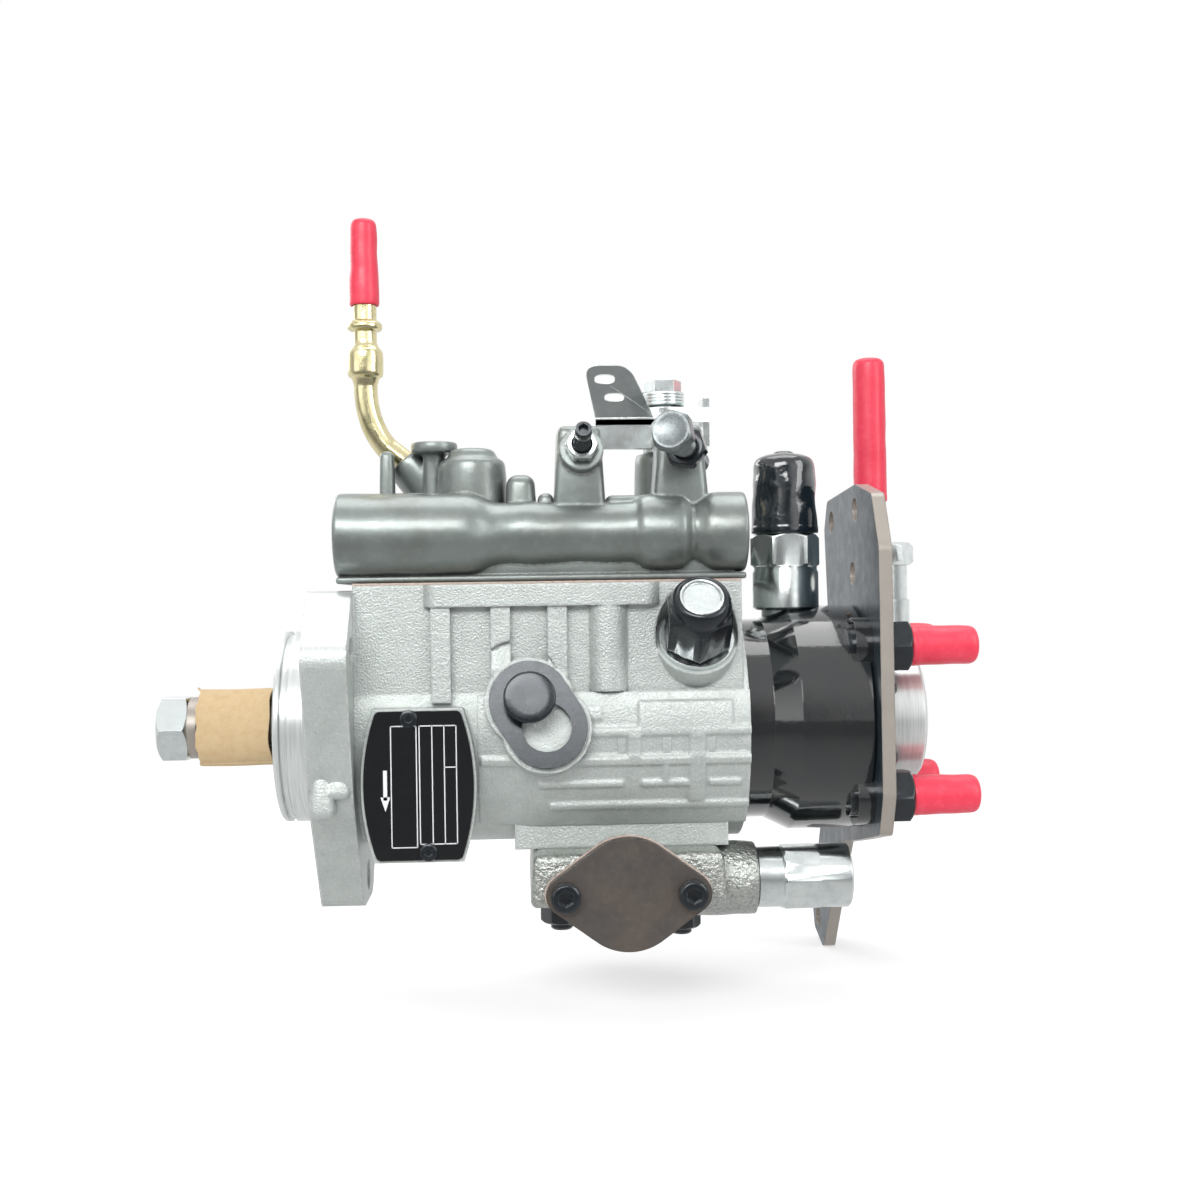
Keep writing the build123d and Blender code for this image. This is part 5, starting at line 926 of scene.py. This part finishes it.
# Advance housing: a flat slab, the round shell of the piston bore, and its nose
advance_x, advance_z, nose_y = 106, -55, -18
back_stud_x, back_stud_y = 130, 20
dress(surface("advance_casting", [
    block((73, -41, -60), (140, 38, -42), 2.5, (1.2, 0.0)),
    turned((advance_x, -41.4, advance_z), (0, 1, 0), soft_profile([
        (0, 0), (0, 16.4), (0.8, 17), (78.4, 17), (79.2, 16.2), (79.2, 12.4), (76, 12.4),
        (76, 0)], 2), 96),
    turned((128, nose_y, advance_z), along_x, soft_profile([
        (-10, 0), (-10, 12.9), (23.4, 12.9), (24.5, 12), (24.5, 0)], 2), 96,
        lambda height, angle: 0.15 * np.sin(3 * angle + 0.4 * height)),
    turned((back_stud_x, back_stud_y, -72), upright, soft_profile([
        (0, 0), (0, 8.6), (0.8, 9.4), (14, 10.2), (14, 0)], 2), 64)], 40),
    body_of("advance_housing"), "cast_iron", ["advance_housing"])
nut_profile = [(0, 0), (0, 8.0), (1.2, 8.0), (1.6, 7.4, 6.5), (8.4, 7.4, 6.5),
               (9.2, 6.2, 6.5), (9.2, 3.9), (11, 3.9), (11.6, 3.3), (11.6, 0)]
dress(surface("advance_stud_nuts", [
    turned((x, y, seat), (0, 0, -1), nut_profile, 72)
    for x, y, seat in ((84, -18, -59.8), (84, 20, -59.8), (back_stud_x, back_stud_y, -70.8))]),
    body_of("advance_nuts"), "black_oxide", ["advance_nuts"])

# Fuel union on the advance housing: a plain collar, a hexagon and a wide sleeve
dress(surface("advance_union_body", [turned((0, nose_y, advance_z), along_x, [
    (150, 0), (150, 10.2), (152.6, 10.2), (152.8, 10.6), (161.2, 10.6), (161.5, 11.0),
    (162.3, 11.9, 10.5), (173.6, 11.9, 10.5), (174.6, 11.2), (184.9, 11.2), (185.5, 10.6),
    (185.5, 6), (176, 6), (176, 0)], 96, turn=30)]),
    body_of("advance_union"), "zinc", ["advance_union"])

# Advance cover screws: knurled socket heads
cover_face, ear_reach = -46.0, 21.3


def knurl(height, angle):
    """Fine upright grooves round the head's wall, as the fourth power of a sine."""
    return -0.22 * rise(height, 0.5, 3.6, 0.3) * np.sin(18 * angle) ** 4


screw_parts = [turned((advance_x + side * ear_reach, cover_face, advance_z), (0, -1, 0), [
    (-16, 0), (-16, 3), (0, 3), (0.05, 4.8), (0.3, 5), (0.6, 5), (2, 5), (3.5, 5),
    (3.8, 4.95), (4.45, 4.3), (4.5, 4.1), (4.5, 2.8, 2.4), (1.8, 2.8, 2.4), (1.4, 0)],
    216, knurl) for side in (-1, 1)]
dress(surface("advance_socket_screws", screw_parts), body_of("advance_cover_screws"),
      "black_oxide", ["advance_cover_screws"])

# Name plate: a plate with bulging sides and eased corners, and its drive screws
sweep = np.linspace(-1, 1, 17)
plate_half, plate_bulge, plate_rise = 14, 4.3, 24.75
bulged = [(plate_half + plate_bulge * (1 - v * v), plate_rise * v) for v in sweep]
plate_outline = eased(bulged + [(-u, -v) for u, v in bulged],
                      [1.6] + [0.6] * 15 + [1.6] + [1.6] + [0.6] * 15 + [1.6], 4)
plate_x, plate_z, plate_thick, ink = 36.5, -17, 0.8, (0.79, 0.815)
front_sheet = sheet((plate_x, -45.2, plate_z), along_x, upright)
dress(surface("name_plate_sheet", [], 30, [plate(plate_outline, [], 0.0, plate_thick, front_sheet)]),
      body_of("name_plate"), "black_plate", ["name_plate"])
printed = []


def stroke(start, end, width=0.36):
    """A printed line: a thin raised strip from start to end on the plate's face."""
    start, end = np.array(start, float), np.array(end, float)
    way = (end - start) / np.linalg.norm(end - start) * width / 2
    side = np.array([-way[1], way[0]])
    loop = [start - way + side, end + way + side, end + way - side, start - way - side]
    printed.append(plate(loop, [], *ink, front_sheet))


def frame_of(low, high):
    """Four strokes round a box."""
    corners = [low, (high[0], low[1]), high, (low[0], high[1])]
    for one, two in zip(corners, corners[1:] + corners[:1]):
        stroke(one, two)


frame_of((0.4, -19.4), (12.6, 19.8))
frame_of((-9.0, -20.4), (-0.6, 19.8))
stroke((4.6, -19.4), (4.6, 19.8))
stroke((8.6, -19.4), (8.6, 19.8))
stroke((8.6, 6), (12.6, 6))
stroke((-11.0, 4.6), (-11.0, -4.0), 1.3)
printed.append(plate([(-12.6, -3.6), (-9.4, -3.6), (-11.0, -8.4)], [], *ink, front_sheet))
dress(surface("plate_printing", [], 30, printed), body_of("name_plate"), "black_plate",
      finish=white_ink)
pin_parts = []
for side in (-1, 1):
    pin_parts.append(turned((plate_x + side * 3, -46.0, plate_z - side * 22.15), (0, -1, 0), [
        (-5, 0), (-5, 1.9), (0, 1.9), (0.02, 2.9), (0.3, 3.0), (0.7, 2.8), (0.9, 2.3),
        (0.9, 1.5, 1.2), (0.2, 1.4, 1.1), (0.2, 0)], 48))
dress(surface("plate_drive_pins", pin_parts), body_of("plate_screws"), "black_oxide",
      ["plate_screws"])

# Studio


def card(name, corner, side, up):
    """A flat sheet from a corner along two sides, in metres."""
    corner, side, up = (np.asarray(v, float) / MM for v in (corner, side, up))
    u, v = np.meshgrid(np.linspace(0, 1, 2), np.linspace(0, 1, 2), indexing="ij")
    sheet = surface(name, [corner + u[..., None] * side + v[..., None] * up])
    return sheet


def bands(tree, value, stops):
    """A value read off a chain of (position, level) stops."""
    made = node(tree, "ShaderNodeValToRGB", {0: value})
    chain = made.color_ramp.elements
    while len(chain) < len(stops):
        chain.new(0.5)
    for stop, (position, level) in zip(chain, stops):
        stop.position, stop.color = position, (level, level, level, 1)
    return made.outputs[0]


floor_level = cad_box[0][2]
floor = card("floor", (-6, -6, floor_level), (12, 0, 0), (0, 12, 0))
material, tree, end, place = finish_tree("white_floor")
seen = node(tree, "ShaderNodeLightPath")
split = node(tree, "ShaderNodeSeparateXYZ", {0: place})
reach = node(tree, "ShaderNodeVectorMath", {0: place}, operation="LENGTH").outputs["Value"]
far = ramp(tree, reach, 0.28, 1.1)
matt = node(tree, "ShaderNodeBsdfDiffuse", {
    "Color": blend(tree, far, "c8c8c8", "000000")})
shown = node(tree, "ShaderNodeMix", {
    0: seen.outputs["Is Camera Ray"], 2: 0.22, 3: ramp(tree, far, 0, 1, 0.52, 1.0)})
glow = node(tree, "ShaderNodeEmission", {
    "Color": (1, 1, 1, 1), "Strength": shown.outputs[0]})
both = node(tree, "ShaderNodeAddShader")
tree.links.new(glow.outputs[0], both.inputs[0])
tree.links.new(matt.outputs[0], both.inputs[1])
mirrored = node(tree, "ShaderNodeEmission", {
    "Color": (1, 1, 1, 1), "Strength": ramp(tree, split.outputs["Y"], -0.4, 0.15, 0.26, 0.9)})
mix = node(tree, "ShaderNodeMixShader", {0: seen.outputs["Is Glossy Ray"]})
tree.links.new(both.outputs[0], mix.inputs[1])
tree.links.new(mirrored.outputs[0], mix.inputs[2])
tree.links.new(mix.outputs[0], end.inputs[0])
floor.data.materials.append(material)

# The studio round the object: bright windows left and right of a dark camera side
world = bpy.data.worlds.new("studio")
scene.world = world
world.use_nodes = True
tree = world.node_tree
tree.nodes.clear()
seen = node(tree, "ShaderNodeLightPath")
split = node(tree, "ShaderNodeSeparateXYZ", {
    0: node(tree, "ShaderNodeTexCoord").outputs["Generated"]})
front = node(tree, "ShaderNodeMath", {0: split.outputs["Y"], 1: -1.0}, operation="MULTIPLY")
bearing = node(tree, "ShaderNodeMath", {0: split.outputs["X"], 1: front.outputs[0]},
               operation="ARCTAN2").outputs[0]
around = bands(tree, ramp(tree, bearing, -math.pi, math.pi), [
    ((angle + 180) / 360, level) for angle, level in (
        (-180, 0.62), (-118, 0.6), (-92, 0.3), (-74, 0.26), (-68, 1.0), (-40, 1.0),
        (-30, 0.4), (-17, 0.28), (-8, 0.1), (7, 0.1), (15, 0.5), (26, 0.95), (46, 0.95),
        (55, 0.28), (78, 0.22), (98, 0.5), (180, 0.62))])
level = node(tree, "ShaderNodeMix", {
    0: ramp(tree, split.outputs["Z"], 0.12, 0.6), 2: around, 3: 0.55})
lit = node(tree, "ShaderNodeMath", {0: level.outputs[0], 1: 0.8}, operation="MULTIPLY")
shine = node(tree, "ShaderNodeMath", {0: level.outputs[0], 1: 1.7}, operation="MULTIPLY")
level = node(tree, "ShaderNodeMix", {
    0: seen.outputs["Is Glossy Ray"], 2: lit.outputs[0], 3: shine.outputs[0]})
level = node(tree, "ShaderNodeMix", {
    0: seen.outputs["Is Camera Ray"], 2: level.outputs[0], 3: 1.0})
sky = node(tree, "ShaderNodeBackground", {
    "Color": (1, 1, 1, 1), "Strength": level.outputs[0]})
tree.links.new(sky.outputs[0], node(tree, "ShaderNodeOutputWorld").inputs[0])


def softbox(name, place, aim, width, height, power):
    """An area lamp at a place in metres, turned to its aim."""
    lamp = bpy.data.lights.new(name, "AREA")
    lamp.shape, lamp.size, lamp.size_y, lamp.energy = "RECTANGLE", width, height, power
    box = bpy.data.objects.new(name, lamp)
    scene.collection.objects.link(box)
    box.location = place
    box.rotation_euler = (Vector(aim) - Vector(place)).to_track_quat("-Z", "Y").to_euler()
    return box


heart = (0.09, 0.0, 0.02)
softbox("key_box", (-0.25, -1.25, 0.72), heart, 1.0, 0.5, 14.5)
softbox("side_box", (1.1, -0.7, 0.5), heart, 0.5, 0.8, 5.0)
softbox("top_box", (0.1, 0.2, 1.3), heart, 1.2, 0.9, 9.0)
softbox("back_box", (-0.8, 0.9, 0.6), heart, 0.8, 0.6, 4.0)

# Camera

view = bpy.data.cameras.new("photo_view")
view.sensor_width = 36.0
view.lens = 45.36
camera = bpy.data.objects.new("photo_view", view)
scene.collection.objects.link(camera)
camera.matrix_world = (
    Matrix.Translation((0.0712, -0.5492, 0.04365))
    @ Matrix.Rotation(math.radians(-3.0), 4, "Z")
    @ Matrix.Rotation(math.radians(90.0), 4, "X")
    @ Matrix.Rotation(math.radians(-0.85), 4, "Z"))
scene.camera = camera
scene.view_settings.view_transform = "Standard"
